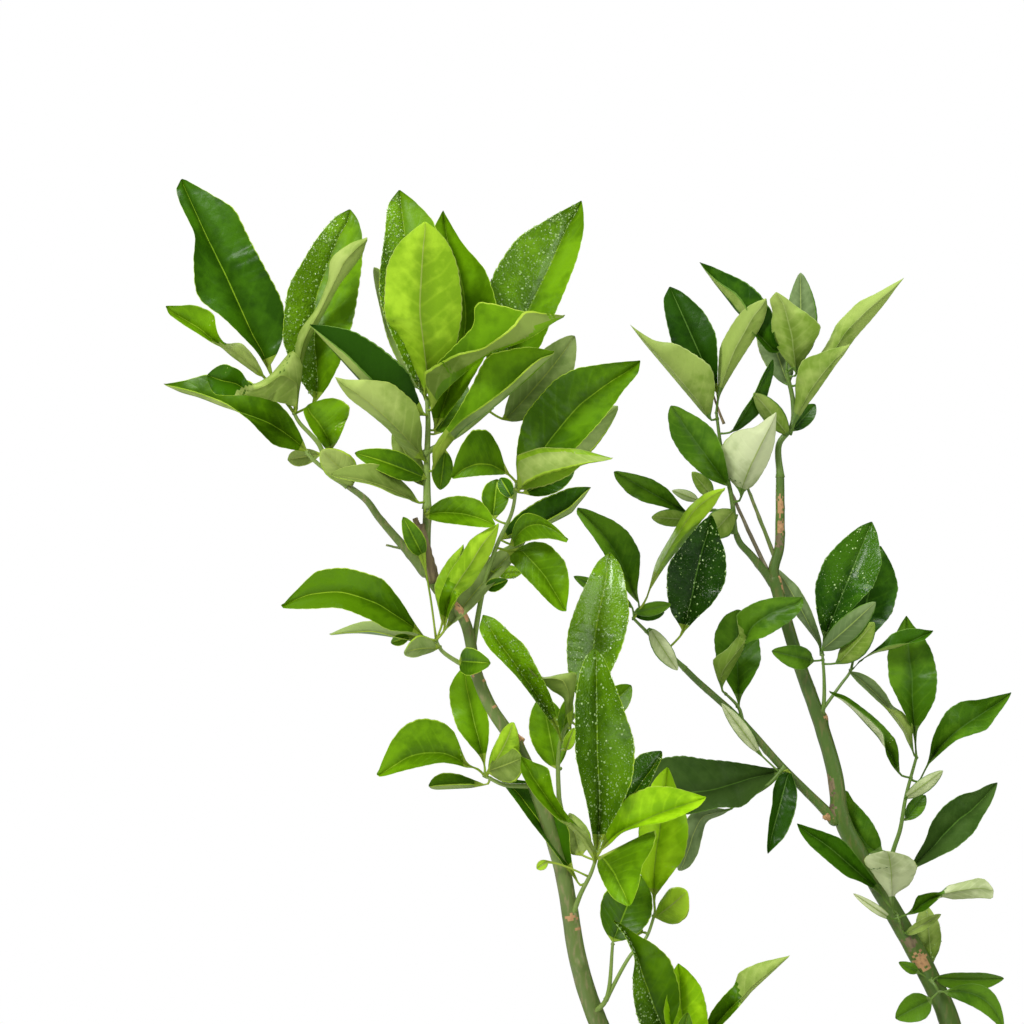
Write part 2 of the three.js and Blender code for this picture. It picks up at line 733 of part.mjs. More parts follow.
// A blade with its stalk, as one closed solid whose stalk starts inside the twig at the root.
function leafSolid(shape) {
  const { root, foot, tip, width, facing, roll = 0, bow = 0, sweep = 0, twist = 0, cuts } = shape;
  const along = tip.clone().sub(foot);
  const length = along.length();
  along.normalize();
  const open = facing.clone().addScaledVector(along, -facing.dot(along)).normalize();
  const aside = along.clone().cross(open);
  const thickness = Math.max(leaf.leastThickness, length * leaf.thickness);
  const turned = (share) => {
    const angle = THREE.MathUtils.degToRad(roll + twist * (share - 0.5));
    return [open.clone().applyAxisAngle(along, angle), aside.clone().applyAxisAngle(along, angle)];
  };
  const [firstUp] = turned(0.5);
  const blade = cuts.map((share) => {
    const hump = 4 * share * (1 - share) * length;
    const centre = foot.clone().addScaledVector(along, share * length);
    centre.addScaledVector(firstUp, bow * hump).addScaledVector(aside, sweep * hump);
    const [up, across] = turned(share);
    const half = (width / 2) * bladeWidth(share);
    const edge = centre.clone().addScaledVector(up, leaf.fold * half);
    return [
      edge.clone().addScaledVector(across, -half),
      centre.clone().addScaledVector(up, thickness / 2),
      edge.clone().addScaledVector(across, half),
      centre.clone().addScaledVector(up, -thickness / 2),
    ];
  });
  const stalk = foot.clone().sub(root);
  const stalkLength = stalk.length();
  const ringAt = (centre, direction) => {
    const [up, across] = turned(0);
    across.addScaledVector(direction, -across.dot(direction)).normalize();
    up.crossVectors(direction, across).negate();
    return leaf.stalkCorners.map(([side, rise]) => centre.clone()
      .addScaledVector(across, side * leaf.stalkRadius)
      .addScaledVector(up, rise * leaf.stalkRadius));
  };
  if (cuts.length === 1 || stalkLength < leaf.shortStalk) {
    return skin([[root], ...blade, [tip]]);
  }
  return skin([ringAt(root, stalk.normalize()), ringAt(foot, along), ...blade, [tip]]);
}

function nearestOnTwigs(twigs, target) {
  const nearest = new THREE.Vector3();
  const found = new THREE.Vector3();
  let least = Infinity;
  twigs.forEach((points) => points.slice(1).forEach((end, index) => {
    const inside = end.clone().sub(points[index]).setLength(leaf.rootInset);
    const line = new THREE.Line3(points[index].clone().add(inside), end.clone().sub(inside));
    line.closestPointToPoint(target, true, nearest);
    if (nearest.distanceTo(target) < least) {
      least = nearest.distanceTo(target);
      found.copy(nearest);
    }
  }));
  return found;
}

function depthOf(point) {
  return ((point.y - eye.y) / (sheet.y - eye.y) - 1) * (sheet.y - eye.y);
}

function twigSolids({ twigs, radius }) {
  return twigs.map((points, index) => {
    const from = index === 0 ? radius : radius * 0.8;
    const radiusAt = (share) => THREE.MathUtils.lerp(from, radius * 0.55, share);
    return taperingTube(points, radiusAt, points.length, twigSides);
  });
}

// Every row gives a list of leaves to try: as written, then with the tip nudged nearer and further.
function frontLeafTries(spray, row) {
  const [right, up, reach, bearing, out, width, roll, bow, sweep, twist] = row;
  const behind = depthOf(spray.twigs[0].at(-1));
  const root = nearestOnTwigs(spray.twigs, on(right, up, behind));
  const footBehind = depthOf(root) + Math.sign(out) * Math.min(4, Math.abs(out) / 4);
  const foot = on(right, up, footBehind);
  const angle = THREE.MathUtils.degToRad(bearing);
  const tries = [0];
  for (let k = 1; k <= leaf.nudges; k += 1) {
    tries.push(k * leaf.nudge, -k * leaf.nudge);
  }
  return tries.map((nudge) => {
    const behindTip = footBehind + out + nudge;
    const tip = on(right + reach * Math.cos(angle), up + reach * Math.sin(angle), behindTip);
    const facing = eye.clone().sub(foot).normalize();
    const cuts = reach < leaf.smallLength ? leaf.plainCuts : leaf.fineCuts;
    return { root, foot, tip, width, facing, roll, bow, sweep, twist, cuts };
  });
}

// A leaning stem carries twigs at a steady turn, and every twig and the stem carry leaves the same way.
function grow(spray) {
  const random = seeded(spray.seed);
  const between = ([least, most]) => least + (most - least) * random();
  const heading = spray.heading.clone().normalize();
  const lift = at(0, 0, 1);
  const courseFrom = (start, direction, length) => {
    const bent = direction.clone().addScaledVector(lift, growth.bend).normalize();
    const middle = start.clone().addScaledVector(direction, length * 0.5);
    return [start, middle, middle.clone().addScaledVector(bent, length * 0.5)];
  };
  const fan = (direction, turn, spread) => {
    const side = direction.clone().cross(Math.abs(direction.z) > 0.9 ? at(1, 0, 0) : lift).normalize();
    side.applyAxisAngle(direction, turn);
    const fanned = direction.clone().multiplyScalar(Math.cos(spread));
    return fanned.addScaledVector(side, Math.sin(spread)).normalize();
  };
  const limb = courseOf(limbs.find(({ name }) => name === spray.limb).points);
  const clear = spray.share === 1 ? gap : 0;
  const foot = limb.getPointAt(spray.share).addScaledVector(limb.getTangentAt(spray.share), clear);
  const stem = courseFrom(foot, heading, spray.length);
  const twigs = [stem];
  let turn = random() * Math.PI * 2;
  for (let k = 0; k < spray.twigs; k += 1) {
    const share = growth.twigsFrom + (growth.twigsOver * k) / spray.twigs;
    const start = new THREE.CatmullRomCurve3(stem).getPointAt(share);
    const length = spray.length * growth.twigShare * (growth.twigLongest - growth.twigShortening * share);
    twigs.push(courseFrom(start, fan(heading, turn, growth.twigSpread), length));
    turn += growth.turn;
  }
  const leaves = [];
  twigs.forEach((points, index) => {
    const course = new THREE.CatmullRomCurve3(points);
    const count = index === 0 ? growth.stemLeaves : growth.twigLeaves;
    const first = index === 0 ? growth.firstOnStem : growth.firstOnTwig;
    for (let k = 0; k < count; k += 1) {
      const share = first + ((growth.lastLeaf - first) * k) / (count - 1);
      const root = course.getPointAt(share);
      const direction = course.getTangentAt(share);
      const spread = growth.leafSpread * (k === count - 1 ? growth.endSpread : 1);
      const length = between(growth.leafLength);
      const width = length * between(growth.leafWidth);
      const facing = direction.clone().multiplyScalar(growth.faceAhead);
      facing.addScaledVector(lift, growth.faceUp).normalize();
      const leafTurn = turn;
      leaves.push(growth.secondTries.map((more) => {
        const outward = fan(direction, leafTurn + more, spread);
        outward.addScaledVector(lift, growth.leafLift).normalize();
        const neck = root.clone().addScaledVector(outward, growth.neck);
        const tip = root.clone().addScaledVector(outward, length);
        return { root, foot: neck, tip, width, facing, bow: growth.bow, cuts: leaf.plainCuts, twig: index };
      }));
      turn += growth.turn;
    }
  });
  return { name: spray.name, seed: spray.seed, twigs, radius: growth.radius, tries: leaves };
}

// Whether a grown leaf would show in the front view by its foot, its tip or an edge where it is widest.
function leafShows({ foot, tip, width }) {
  const along = tip.clone().sub(foot).normalize();
  const middle = foot.clone().lerp(tip, 0.45);
  const across = along.clone().cross(at(0, 1, 0)).setLength(width / 2);
  return [foot, tip, middle.clone().add(across), middle.clone().sub(across)].some(showsOnSheet);
}

// Assembly

function potSolid() {
  const { height, footRadius, rimRadius, wall, floor, bandHeight, bandStep } = pot;
  const bandFoot = height - bandHeight;
  const wallRadius = (z) => THREE.MathUtils.lerp(footRadius, rimRadius - bandStep, z / bandFoot);
  const outline = [
    [0, 0], [footRadius - 3, 0], [footRadius, 3],
    [wallRadius(bandFoot), bandFoot], [rimRadius - 1, bandFoot + 2],
    [rimRadius, height - 3], [rimRadius - 3, height], [rimRadius - wall, height],
    [wallRadius(bandFoot) - wall, bandFoot], [wallRadius(floor) - wall, floor], [0, floor],
  ];
  const turned = new THREE.LatheGeometry(outline.map(([r, z]) => new THREE.Vector2(r, z)), pot.segments);
  let solid = solidOfGeometry(turned.rotateX(Math.PI / 2));
  for (let k = 0; k < pot.drains; k += 1) {
    const angle = ((k + 0.5) / pot.drains) * Math.PI * 2;
    const drain = new THREE.CylinderGeometry(pot.drainRadius, pot.drainRadius, floor * 2, pot.drainSides);
    drain.rotateX(Math.PI / 2);
    drain.translate(Math.cos(angle) * pot.drainCircle, Math.sin(angle) * pot.drainCircle, floor / 2);
    solid = solid.subtract(solidOfGeometry(drain));
  }
  return solid;
}

function soilSolid() {
  const { height, footRadius, rimRadius, wall, floor, bandHeight, bandStep } = pot;
  const bandFoot = height - bandHeight;
  const clear = wall + gap;
  const wallRadius = (z) => THREE.MathUtils.lerp(footRadius, rimRadius - bandStep, z / bandFoot) - clear;
  const rimInside = rimRadius - clear;
  const aboveBand = (z) => THREE.MathUtils.lerp(wallRadius(bandFoot), rimInside, (z - bandFoot) / bandHeight);
  const edge = soil.top - soil.edgeDrop;
  const outline = [
    [0, floor + gap], [wallRadius(floor) - gap, floor + gap],
    [wallRadius(bandFoot), bandFoot], [aboveBand(edge), edge],
    [aboveBand(edge) - soil.edgeWidth, soil.top], [0, soil.top],
  ];
  const turned = new THREE.LatheGeometry(outline.map(([r, z]) => new THREE.Vector2(r, z)), pot.segments);
  return solidOfGeometry(turned.rotateX(Math.PI / 2));
}

function geometryOf(solid) {
  const mesh = solid.getMesh();
  const geometry = new THREE.BufferGeometry();
  geometry.setAttribute('position', new THREE.BufferAttribute(mesh.vertProperties, 3));
  geometry.setIndex(new THREE.BufferAttribute(mesh.triVerts, 1));
  return geometry;
}

// Points that lie together are welded, which can part a piece at a pinch, so its largest body is kept.
function welded(solid) {
  return largestPiece(solidOfGeometry(geometryOf(largestPiece(solid))));
}

function meshOf(name, solid, material) {
  const geometry = geometryOf(welded(welded(solid)));
  geometry.computeVertexNormals();
  const made = new THREE.Mesh(geometry, material);
  made.name = name;
  return made;
}

// Each limb is cut clear of those before it, so that forks meet with the gap between them.
function cutLimbs() {
  const placed = [{ name: 'trunk', solid: trunkSolid(), cleared: trunkSolid(gap) }];
  limbs.forEach((limb) => {
    let solid = limbSolid(limb);
    placed.forEach((other) => {
      solid = meets(solid, other.cleared) ? solid.subtract(other.cleared) : solid;
    });
    placed.push({ name: limb.name, solid: largestPiece(solid), cleared: limbSolid(limb, gap) });
  });
  return placed;
}

// Twigs go in first, then leaf after leaf: one that touches a limb or another spray is nudged, or is skipped,
// and so is one that would not fuse to its twig as one closed body.
function growSprays(wood) {
  const withTries = (spray) => ({ ...spray, tries: spray.leaves.map((row) => frontLeafTries(spray, row)) });
  const sprays = [...frontSprays.map(withTries), ...fullSprays.map(grow)];
  sprays.forEach((spray) => {
    spray.parts = twigSolids(spray);
    spray.body = wasm.Manifold.union(spray.parts);
    wood.forEach(({ cleared }) => {
      spray.body = meets(spray.body, cleared) ? spray.body.subtract(cleared) : spray.body;
    });
    spray.body = largestPiece(spray.body);
  });
  sprays.forEach((spray) => {
    const others = sprays.filter((other) => other !== spray);
    const mostFaces = spray.seed ? growth.mostFaces : Infinity;
    const blocked = (shape, solid) => wood.some(({ cleared }) => meets(solid, cleared))
      || others.some((other) => other.parts.some((part) => meets(solid, part)))
      || (spray.seed && spray.parts.some((part, index) => index !== shape.twig && meets(solid, part)));
    spray.tries.forEach((shapes) => {
      const open = shapes.filter((shape) => !spray.seed || !leafShows(shape));
      const fuses = (shape) => {
        const solid = leafSolid(shape);
        const joined = spray.body.add(solid);
        if (joined.numTri() - spray.body.numTri() > mostFaces || blocked(shape, solid) || !isSound(joined)) {
          return false;
        }
        spray.parts.push(solid);
        spray.body = joined;
        return true;
      };
      open.some(fuses);
    });
  });
  return sprays;
}

const tree = new THREE.Group();
tree.add(meshOf('pot', potSolid(), finish(colours.clay, 0.8)));
tree.add(meshOf('soil', soilSolid(), finish(colours.soil, 0.95)));

const wood = cutLimbs();
wood.forEach(({ name, solid }) => tree.add(meshOf(name, solid, finish(colours.bark, 0.7))));

growSprays(wood).forEach(({ name, body }) => tree.add(meshOf(name, body, finish(colours.leaf, 0.45))));

export default tree;
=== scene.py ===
import json
import math

import bpy
import numpy as np
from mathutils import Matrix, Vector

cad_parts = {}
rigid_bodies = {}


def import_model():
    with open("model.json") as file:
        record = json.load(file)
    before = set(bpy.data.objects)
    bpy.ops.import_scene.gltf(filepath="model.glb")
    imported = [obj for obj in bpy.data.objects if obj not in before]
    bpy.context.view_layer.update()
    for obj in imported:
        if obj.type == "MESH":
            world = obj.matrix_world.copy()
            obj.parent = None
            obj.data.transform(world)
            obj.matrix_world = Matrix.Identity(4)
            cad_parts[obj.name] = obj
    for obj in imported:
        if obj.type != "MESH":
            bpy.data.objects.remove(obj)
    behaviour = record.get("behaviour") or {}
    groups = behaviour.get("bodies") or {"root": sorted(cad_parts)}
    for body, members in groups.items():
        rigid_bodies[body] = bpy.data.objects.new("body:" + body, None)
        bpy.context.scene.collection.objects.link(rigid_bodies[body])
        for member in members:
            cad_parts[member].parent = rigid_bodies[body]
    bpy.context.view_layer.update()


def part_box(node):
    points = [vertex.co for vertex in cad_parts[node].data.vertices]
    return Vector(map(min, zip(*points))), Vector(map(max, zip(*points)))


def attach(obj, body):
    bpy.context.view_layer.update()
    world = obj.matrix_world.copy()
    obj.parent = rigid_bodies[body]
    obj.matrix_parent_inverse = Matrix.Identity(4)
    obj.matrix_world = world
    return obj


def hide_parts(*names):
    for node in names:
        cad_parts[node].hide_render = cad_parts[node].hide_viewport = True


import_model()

# Laid out in millimetres, z up, with the origin under the middle of the pot. addMesh brings it to metres.
metre = 0.001
anyPhase = (0, 6.28)


def vec(*numbers):
    return np.array(numbers, float)


def unit(v):
    return v / np.linalg.norm(v)


def lerp(a, b, share):
    return a + (b - a) * share


def turnAbout(v, axis, angle):
    return (v * math.cos(angle) + np.cross(axis, v) * math.sin(angle)
            + axis * np.dot(axis, v) * (1 - math.cos(angle)))


def anglesRound(count):
    return np.arange(count) / count * 2 * math.pi


# The front view is laid out on an upright sheet seen from the eye
sheet = {"eye": vec(-194, -1040, 806), "left": -450, "bottom": 550, "y": -40, "side": 512, "rearDepth": 100}
sightLength = sheet["y"] - sheet["eye"][1]


def on(right, up, behind=0.0):
    flat = vec(sheet["left"] + right, sheet["y"], sheet["bottom"] + up)
    return sheet["eye"] + (flat - sheet["eye"]) * (1 + behind / sightLength)


def rear(right, up, nearer=0.0):
    return on(right, up, sheet["rearDepth"] - nearer)


# Places of the left shoot lie on the sheet and those of the right one behind it
def laidOut(name, places):
    return [(rear if name.startswith("right") else on)(*place) for place in places]


def depthOf(point):
    return point[1] - sheet["y"]


def showsOnSheet(point, margin=4):
    flat = sheet["eye"] + (point - sheet["eye"]) * sightLength / (point[1] - sheet["eye"][1])
    right, up = flat[0] - sheet["left"], flat[2] - sheet["bottom"]
    return -margin < right < sheet["side"] + margin and -margin < up < sheet["side"] + margin


# The same run of numbers as the solids use, so that the sprays fall in the same places
def seeded(seed):
    state, whole = (seed * 2654435761) & 0xFFFFFFFF, 0xFFFFFFFF

    def draw():
        nonlocal state
        state = (state + 0x6D2B79F5) & whole
        mixed = ((state ^ (state >> 15)) * (1 | state)) & whole
        mixed = ((mixed + ((mixed ^ (mixed >> 7)) * (61 | mixed) & whole)) ^ mixed) & whole
        return ((mixed ^ (mixed >> 14)) & whole) / 4294967296

    return draw


# Smooth course through a limb's points, and its places and directions at even steps
def courseOf(points, fineness=60):
    points = [np.asarray(p, float) for p in points]
    padded = [2 * points[0] - points[1], *points, 2 * points[-1] - points[-2]]
    places = []
    for k in range(len(points) - 1):
        p0, p1, p2, p3 = padded[k:k + 4]
        d0, d1, d2 = (max(np.linalg.norm(b - a), 1e-4) ** 0.5 for a, b in ((p0, p1), (p1, p2), (p2, p3)))
        m1 = ((p1 - p0) / d0 - (p2 - p0) / (d0 + d1) + (p2 - p1) / d1) * d1
        m2 = ((p2 - p1) / d1 - (p3 - p1) / (d1 + d2) + (p3 - p2) / d2) * d1
        t = np.linspace(0, 1, fineness, endpoint=k == len(points) - 2)[:, None]
        places.append(p1 + m1 * t + (3 * (p2 - p1) - 2 * m1 - m2) * t ** 2 + (2 * (p1 - p2) + m1 + m2) * t ** 3)
    places = np.vstack(places)
    run = np.concatenate([[0], np.cumsum(np.linalg.norm(np.diff(places, axis=0), axis=1))])
    return {"places": places, "run": run, "length": run[-1]}


def along(course, shares):
    at, step = np.atleast_1d(shares) * course["length"], course["length"] * 0.004
    places, ahead, back = (
        np.stack([np.interp(at + shift, course["run"], course["places"][:, k]) for k in range(3)], 1)
        for shift in (0, step, -step))
    return places, (ahead - back) / np.linalg.norm(ahead - back, axis=1)[:, None]


def pointAt(course, share):
    places, ways = along(course, share)
    return places[0], ways[0]


# Centres of rings along a course, and two sides at each that wind round it as little as they can
def framed(course, shares):
    centres, ways = along(course, shares)
    side = np.cross(ways[0], vec(0, 0, 1) if abs(ways[0][2]) < 0.9 else vec(1, 0, 0))
    sides = []
    for way in ways:
        side = unit(side - way * np.dot(side, way))
        sides.append(side)
    sides = np.array(sides)
    return centres, sides, np.cross(ways, sides)


def tube(frames, angle, radius):
    centres, sides, others = frames
    return centres[:, None] + radius[..., None] * (
        np.cos(angle)[:, None] * sides[:, None] + np.sin(angle)[:, None] * others[:, None])


# Joined meshes are gathered in a bag, row of rings by row of rings with closed ends, and made once
def newBag():
    return {"points": [], "quads": [], "quadSlots": [], "triangles": [], "triangleSlots": [], "uvs": [], "size": 0}


def addRings(bag, rings, slots=0, uv=None):
    rows, around = rings.shape[:2]
    uv = np.zeros((rows, around, 2)) if uv is None else uv
    slots = np.broadcast_to(slots, (rows - 1, around))
    index = bag["size"] + np.arange(rows * around).reshape(rows, around)
    nextIndex = np.roll(index, -1, axis=1)
    bag["points"].append(rings.reshape(-1, 3))
    bag["uvs"].append(uv.reshape(-1, 2))
    bag["quads"].append(np.stack([index[:-1], nextIndex[:-1], nextIndex[1:], index[1:]], -1).reshape(-1, 4))
    bag["quadSlots"].append(slots.reshape(-1))
    bag["size"] += rows * around
    for row, pair in ((0, (nextIndex[0], index[0])), (-1, (index[-1], nextIndex[-1]))):
        bag["points"].append(rings[row].mean(0)[None])
        bag["uvs"].append(uv[row].mean(0)[None])
        bag["triangles"].append(np.stack([*pair, np.full(around, bag["size"])], -1))
        bag["triangleSlots"].append(slots[row])
        bag["size"] += 1


def addMesh(name, bag, materials, replaced, smooth=True):
    points, uvs, quads, triangles = (np.vstack(bag[part]) for part in ("points", "uvs", "quads", "triangles"))
    corners = np.concatenate([quads.ravel(), triangles.ravel()]).astype(np.int32)
    counts = np.repeat([4, 3], [len(quads), len(triangles)])
    mesh = bpy.data.meshes.new(name)
    mesh.vertices.add(len(points))
    mesh.loops.add(len(corners))
    mesh.polygons.add(len(counts))
    for parts, label, values, kind in (
            (mesh.vertices, "co", (points * metre).ravel(), np.float32),
            (mesh.loops, "vertex_index", corners, np.int32),
            (mesh.polygons, "loop_start", np.cumsum(counts) - counts, np.int32),
            (mesh.polygons, "material_index", np.concatenate([*bag["quadSlots"], *bag["triangleSlots"]]), np.int32),
            (mesh.polygons, "use_smooth", np.full(len(counts), smooth), bool)):
        parts.foreach_set(label, values.astype(kind))
    mesh.uv_layers.new(name="places").uv.foreach_set("vector", uvs[corners].astype(np.float32).ravel())
    mesh.update(calc_edges=True)
    for material in materials:
        mesh.materials.append(material)
    piece = bpy.data.objects.new(name, mesh)
    bpy.context.scene.collection.objects.link(piece)
    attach(piece, "root")
    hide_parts(*replaced)
    print("made", name, "with", len(quads) * 2 + len(triangles), "triangles")
    return piece


# A shader socket that can be reckoned with like a number
class Wire:
    def __init__(self, tree, socket):
        self.tree, self.socket = tree, socket

    def __add__(self, other):
        return calc(self.tree, "ADD", self, other)

    def __sub__(self, other):
        return calc(self.tree, "SUBTRACT", self, other)

    def __rsub__(self, other):
        return calc(self.tree, "SUBTRACT", other, self)

    def __mul__(self, other):
        return calc(self.tree, "MULTIPLY", self, other)

    def __pow__(self, other):
        return calc(self.tree, "POWER", self, other)

    def mapped(self, *limits):
        return wire(self.tree, "ShaderNodeMapRange", {}, self, *limits)


def feed(tree, node, label, value):
    socket = node.inputs[label.replace("_", " ") if isinstance(label, str) else label]
    if isinstance(value, Wire):
        tree.links.new(value.socket, socket)
    else:
        socket.default_value = (*value, 1.0) if isinstance(value, tuple) else value


def addNode(tree, kind, settings, *values, **named):
    node = tree.nodes.new(kind)
    for name, value in settings.items():
        setattr(node, name, value)
    for label, value in (*enumerate(values), *named.items()):
        feed(tree, node, label, value)
    return [Wire(tree, socket) for socket in node.outputs]


def wire(tree, kind, settings, *values, **named):
    return addNode(tree, kind, settings, *values, **named)[0]


def calc(tree, operation, *values):
    return wire(tree, "ShaderNodeMath", {"operation": operation}, *values)


def tint(tree, share, first, second):
    node = tree.nodes.new("ShaderNodeMix")
    node.data_type = "RGBA"
    for label, value in ((0, share), (6, first), (7, second)):
        feed(tree, node, label, value)
    return Wire(tree, node.outputs[2])


def objectPlace(tree):
    return addNode(tree, "ShaderNodeTexCoord", {})[3]


def noise(tree, scale, detail, place=None):
    return wire(tree, "ShaderNodeTexNoise", {}, Vector=place or objectPlace(tree), Scale=scale, Detail=detail)


def cells(tree, scale, **settings):
    return addNode(tree, "ShaderNodeTexVoronoi", settings, Vector=objectPlace(tree), Scale=scale)


# Shader node groups: what they are given, with its usual value, and what they put out
socketKinds = {tuple: "NodeSocketColor", float: "NodeSocketFloat"}


def newGroup(name, inputs, outputs):
    group = bpy.data.node_groups.new(name, "ShaderNodeTree")
    for label, value in inputs.items():
        socket = group.interface.new_socket(label, in_out="INPUT", socket_type=socketKinds[type(value)])
        socket.default_value = (*value, 1.0) if isinstance(value, tuple) else value
    for label, kind in outputs.items():
        group.interface.new_socket(label, in_out="OUTPUT", socket_type=socketKinds[kind])
    given, result = group.nodes.new("NodeGroupInput"), group.nodes.new("NodeGroupOutput")
    return group, {socket.name: Wire(group, socket) for socket in given.outputs if socket.name}, result


# Side veins that leave the midrib and bend to the tip, mottling with painted light coming through the blade, painted
# shade by the midrib and foot, fine pitting, the beads of a wet skin and painted glints on it
def leafSkinGroup():
    group, given, result = newGroup(
        "leafSkin",
        {"Color": (0.1, 0.3, 0.02), "Glow Color": (0.2, 0.4, 0.02), "Glow": 0.8, "Vein Color": (0.2, 0.4, 0.05),
         "Vein Count": 9.0, "Vein Share": 0.3, "Pitting": 0.4, "Wet": 0.0, "Glint": 0.0,
         "Glint Color": (0.60, 0.72, 0.42)},
        {"Color": tuple, "Height": float})
    aside, ahead, _ = addNode(group, "ShaderNodeSeparateXYZ", {}, wire(group, "ShaderNodeUVMap", {"uv_map": "places"}))
    across = calc(group, "ABSOLUTE", aside * 2.0 - 1.0)
    waver = noise(group, 55.0, 1.0) * 0.7
    phase = (ahead * given["Vein Count"] - across ** 1.25 * 1.7 + waver) * math.pi
    ridge = calc(group, "ABSOLUTE", calc(group, "COSINE", phase)) ** 22.0 * (1.0 - across ** 3.0)
    swell = calc(group, "ABSOLUTE", calc(group, "SINE", phase)) ** 0.6
    beads = (1.0 - cells(group, 900.0, feature="SMOOTH_F1")[0]) * given["Wet"]
    quilt = 0.55 - cells(group, 290.0, feature="SMOOTH_F1")[0]
    height = swell * 0.35 + (noise(group, 620.0, 3.0) * given["Pitting"] + beads) + quilt * 0.7
    # Random mottling and painted light through the blade, lighter midway across each half and towards the tip
    wide = (noise(group, 26.0, 1.5) - 0.44) * 4.5
    fine = (noise(group, 170.0, 3.0) - 0.5) * 2.2 + (noise(group, 75.0, 2.0) - 0.5) * 1.8 + quilt * 0.55
    halfway = calc(group, "SINE", across * math.pi) * 0.35
    patch = wire(group, "ShaderNodeClamp", {}, wide + fine + (halfway + (ahead - 0.5) * 0.7))
    mottledAndLit = tint(group, patch * given["Glow"], given["Color"], given["Glow Color"])
    veined = tint(group, ridge * given["Vein Share"], mottledAndLit, given["Vein Color"])
    # Painted shade: darker beside the midrib and towards the blade's foot
    besideRib, nearFoot = across.mapped(0.0, 0.4, 0.78, 1.0), ahead.mapped(0.0, 0.45, 0.74, 1.05)
    shaded = wire(group, "ShaderNodeHueSaturation", {}, Color=veined, Value=besideRib * nearFoot)
    # Painted glints: pale dots mixed into the colour, for light caught by drops on a wet skin
    glint = 0.0
    for scale, size, least in ((1050.0, 0.24, 0.35), (620.0, 0.27, 0.72)):
        distance, cellColor, *_ = cells(group, scale)
        strength = wire(group, "ShaderNodeSeparateXYZ", {}, cellColor).mapped(least, 1.0)
        glint = calc(group, "MAXIMUM", glint, distance.mapped(size, size * 0.5) * strength ** 0.5)
    glint = glint * (noise(group, 85.0, 2.0).mapped(0.42, 0.62) * given["Glint"])
    feed(group, result, "Color", tint(group, glint, shaded, given["Glint Color"]))
    feed(group, result, "Height", height)
    return group


# Two colours broken up by grain, with a second coarser cloud that darkens
def grainGroup():
    group, given, result = newGroup(
        "grain",
        {"Color": (0.5, 0.3, 0.2), "Fleck Color": (0.3, 0.2, 0.1), "Fleck Share": 0.5, "Scale": 200.0,
         "Cloud Scale": 20.0, "Cloud": 0.4, "Upright": 1.0},
        {"Color": tuple, "Height": float, "Mask": float})
    stretch = wire(group, "ShaderNodeCombineXYZ", {}, 1.0, 1.0, given["Upright"])
    place = wire(group, "ShaderNodeMapping", {}, Vector=objectPlace(group), Scale=stretch)
    fine, wide = noise(group, given["Scale"], 4.0, place), noise(group, given["Cloud Scale"], 3.0, place)
    fleck = fine.mapped(0.5, 0.66)
    mixed = tint(group, fleck * given["Fleck Share"], given["Color"], given["Fleck Color"])
    light = calc(group, "MULTIPLY_ADD", wide - 0.5, given["Cloud"], 1.0)
    feed(group, result, "Color", wire(group, "ShaderNodeHueSaturation", {}, Color=mixed, Value=light))
    feed(group, result, "Height", fine + wide * 0.6)
    feed(group, result, "Mask", fleck)
    return group


leafSkin, grain = leafSkinGroup(), grainGroup()


def newMaterial(name, group, roughness, bump=0.0, depth=0.0004, coat=0.0, coatRoughness=0.15, specular=0.5, **values):
    material = bpy.data.materials.new(name)
    material.use_nodes = True
    tree = material.node_tree
    tree.nodes.clear()
    color, height, *_ = addNode(tree, "ShaderNodeGroup", {"node_tree": group}, **values)
    more = {"Normal": wire(tree, "ShaderNodeBump", {}, Height=height, Strength=bump, Distance=depth)} if bump else {}
    shader = wire(tree, "ShaderNodeBsdfPrincipled", {}, Base_Color=color, Roughness=roughness, Coat_Weight=coat,
                  Coat_Roughness=coatRoughness, Specular_IOR_Level=specular, **more)
    feed(tree, tree.nodes.new("ShaderNodeOutputMaterial"), 0, shader)
    return material
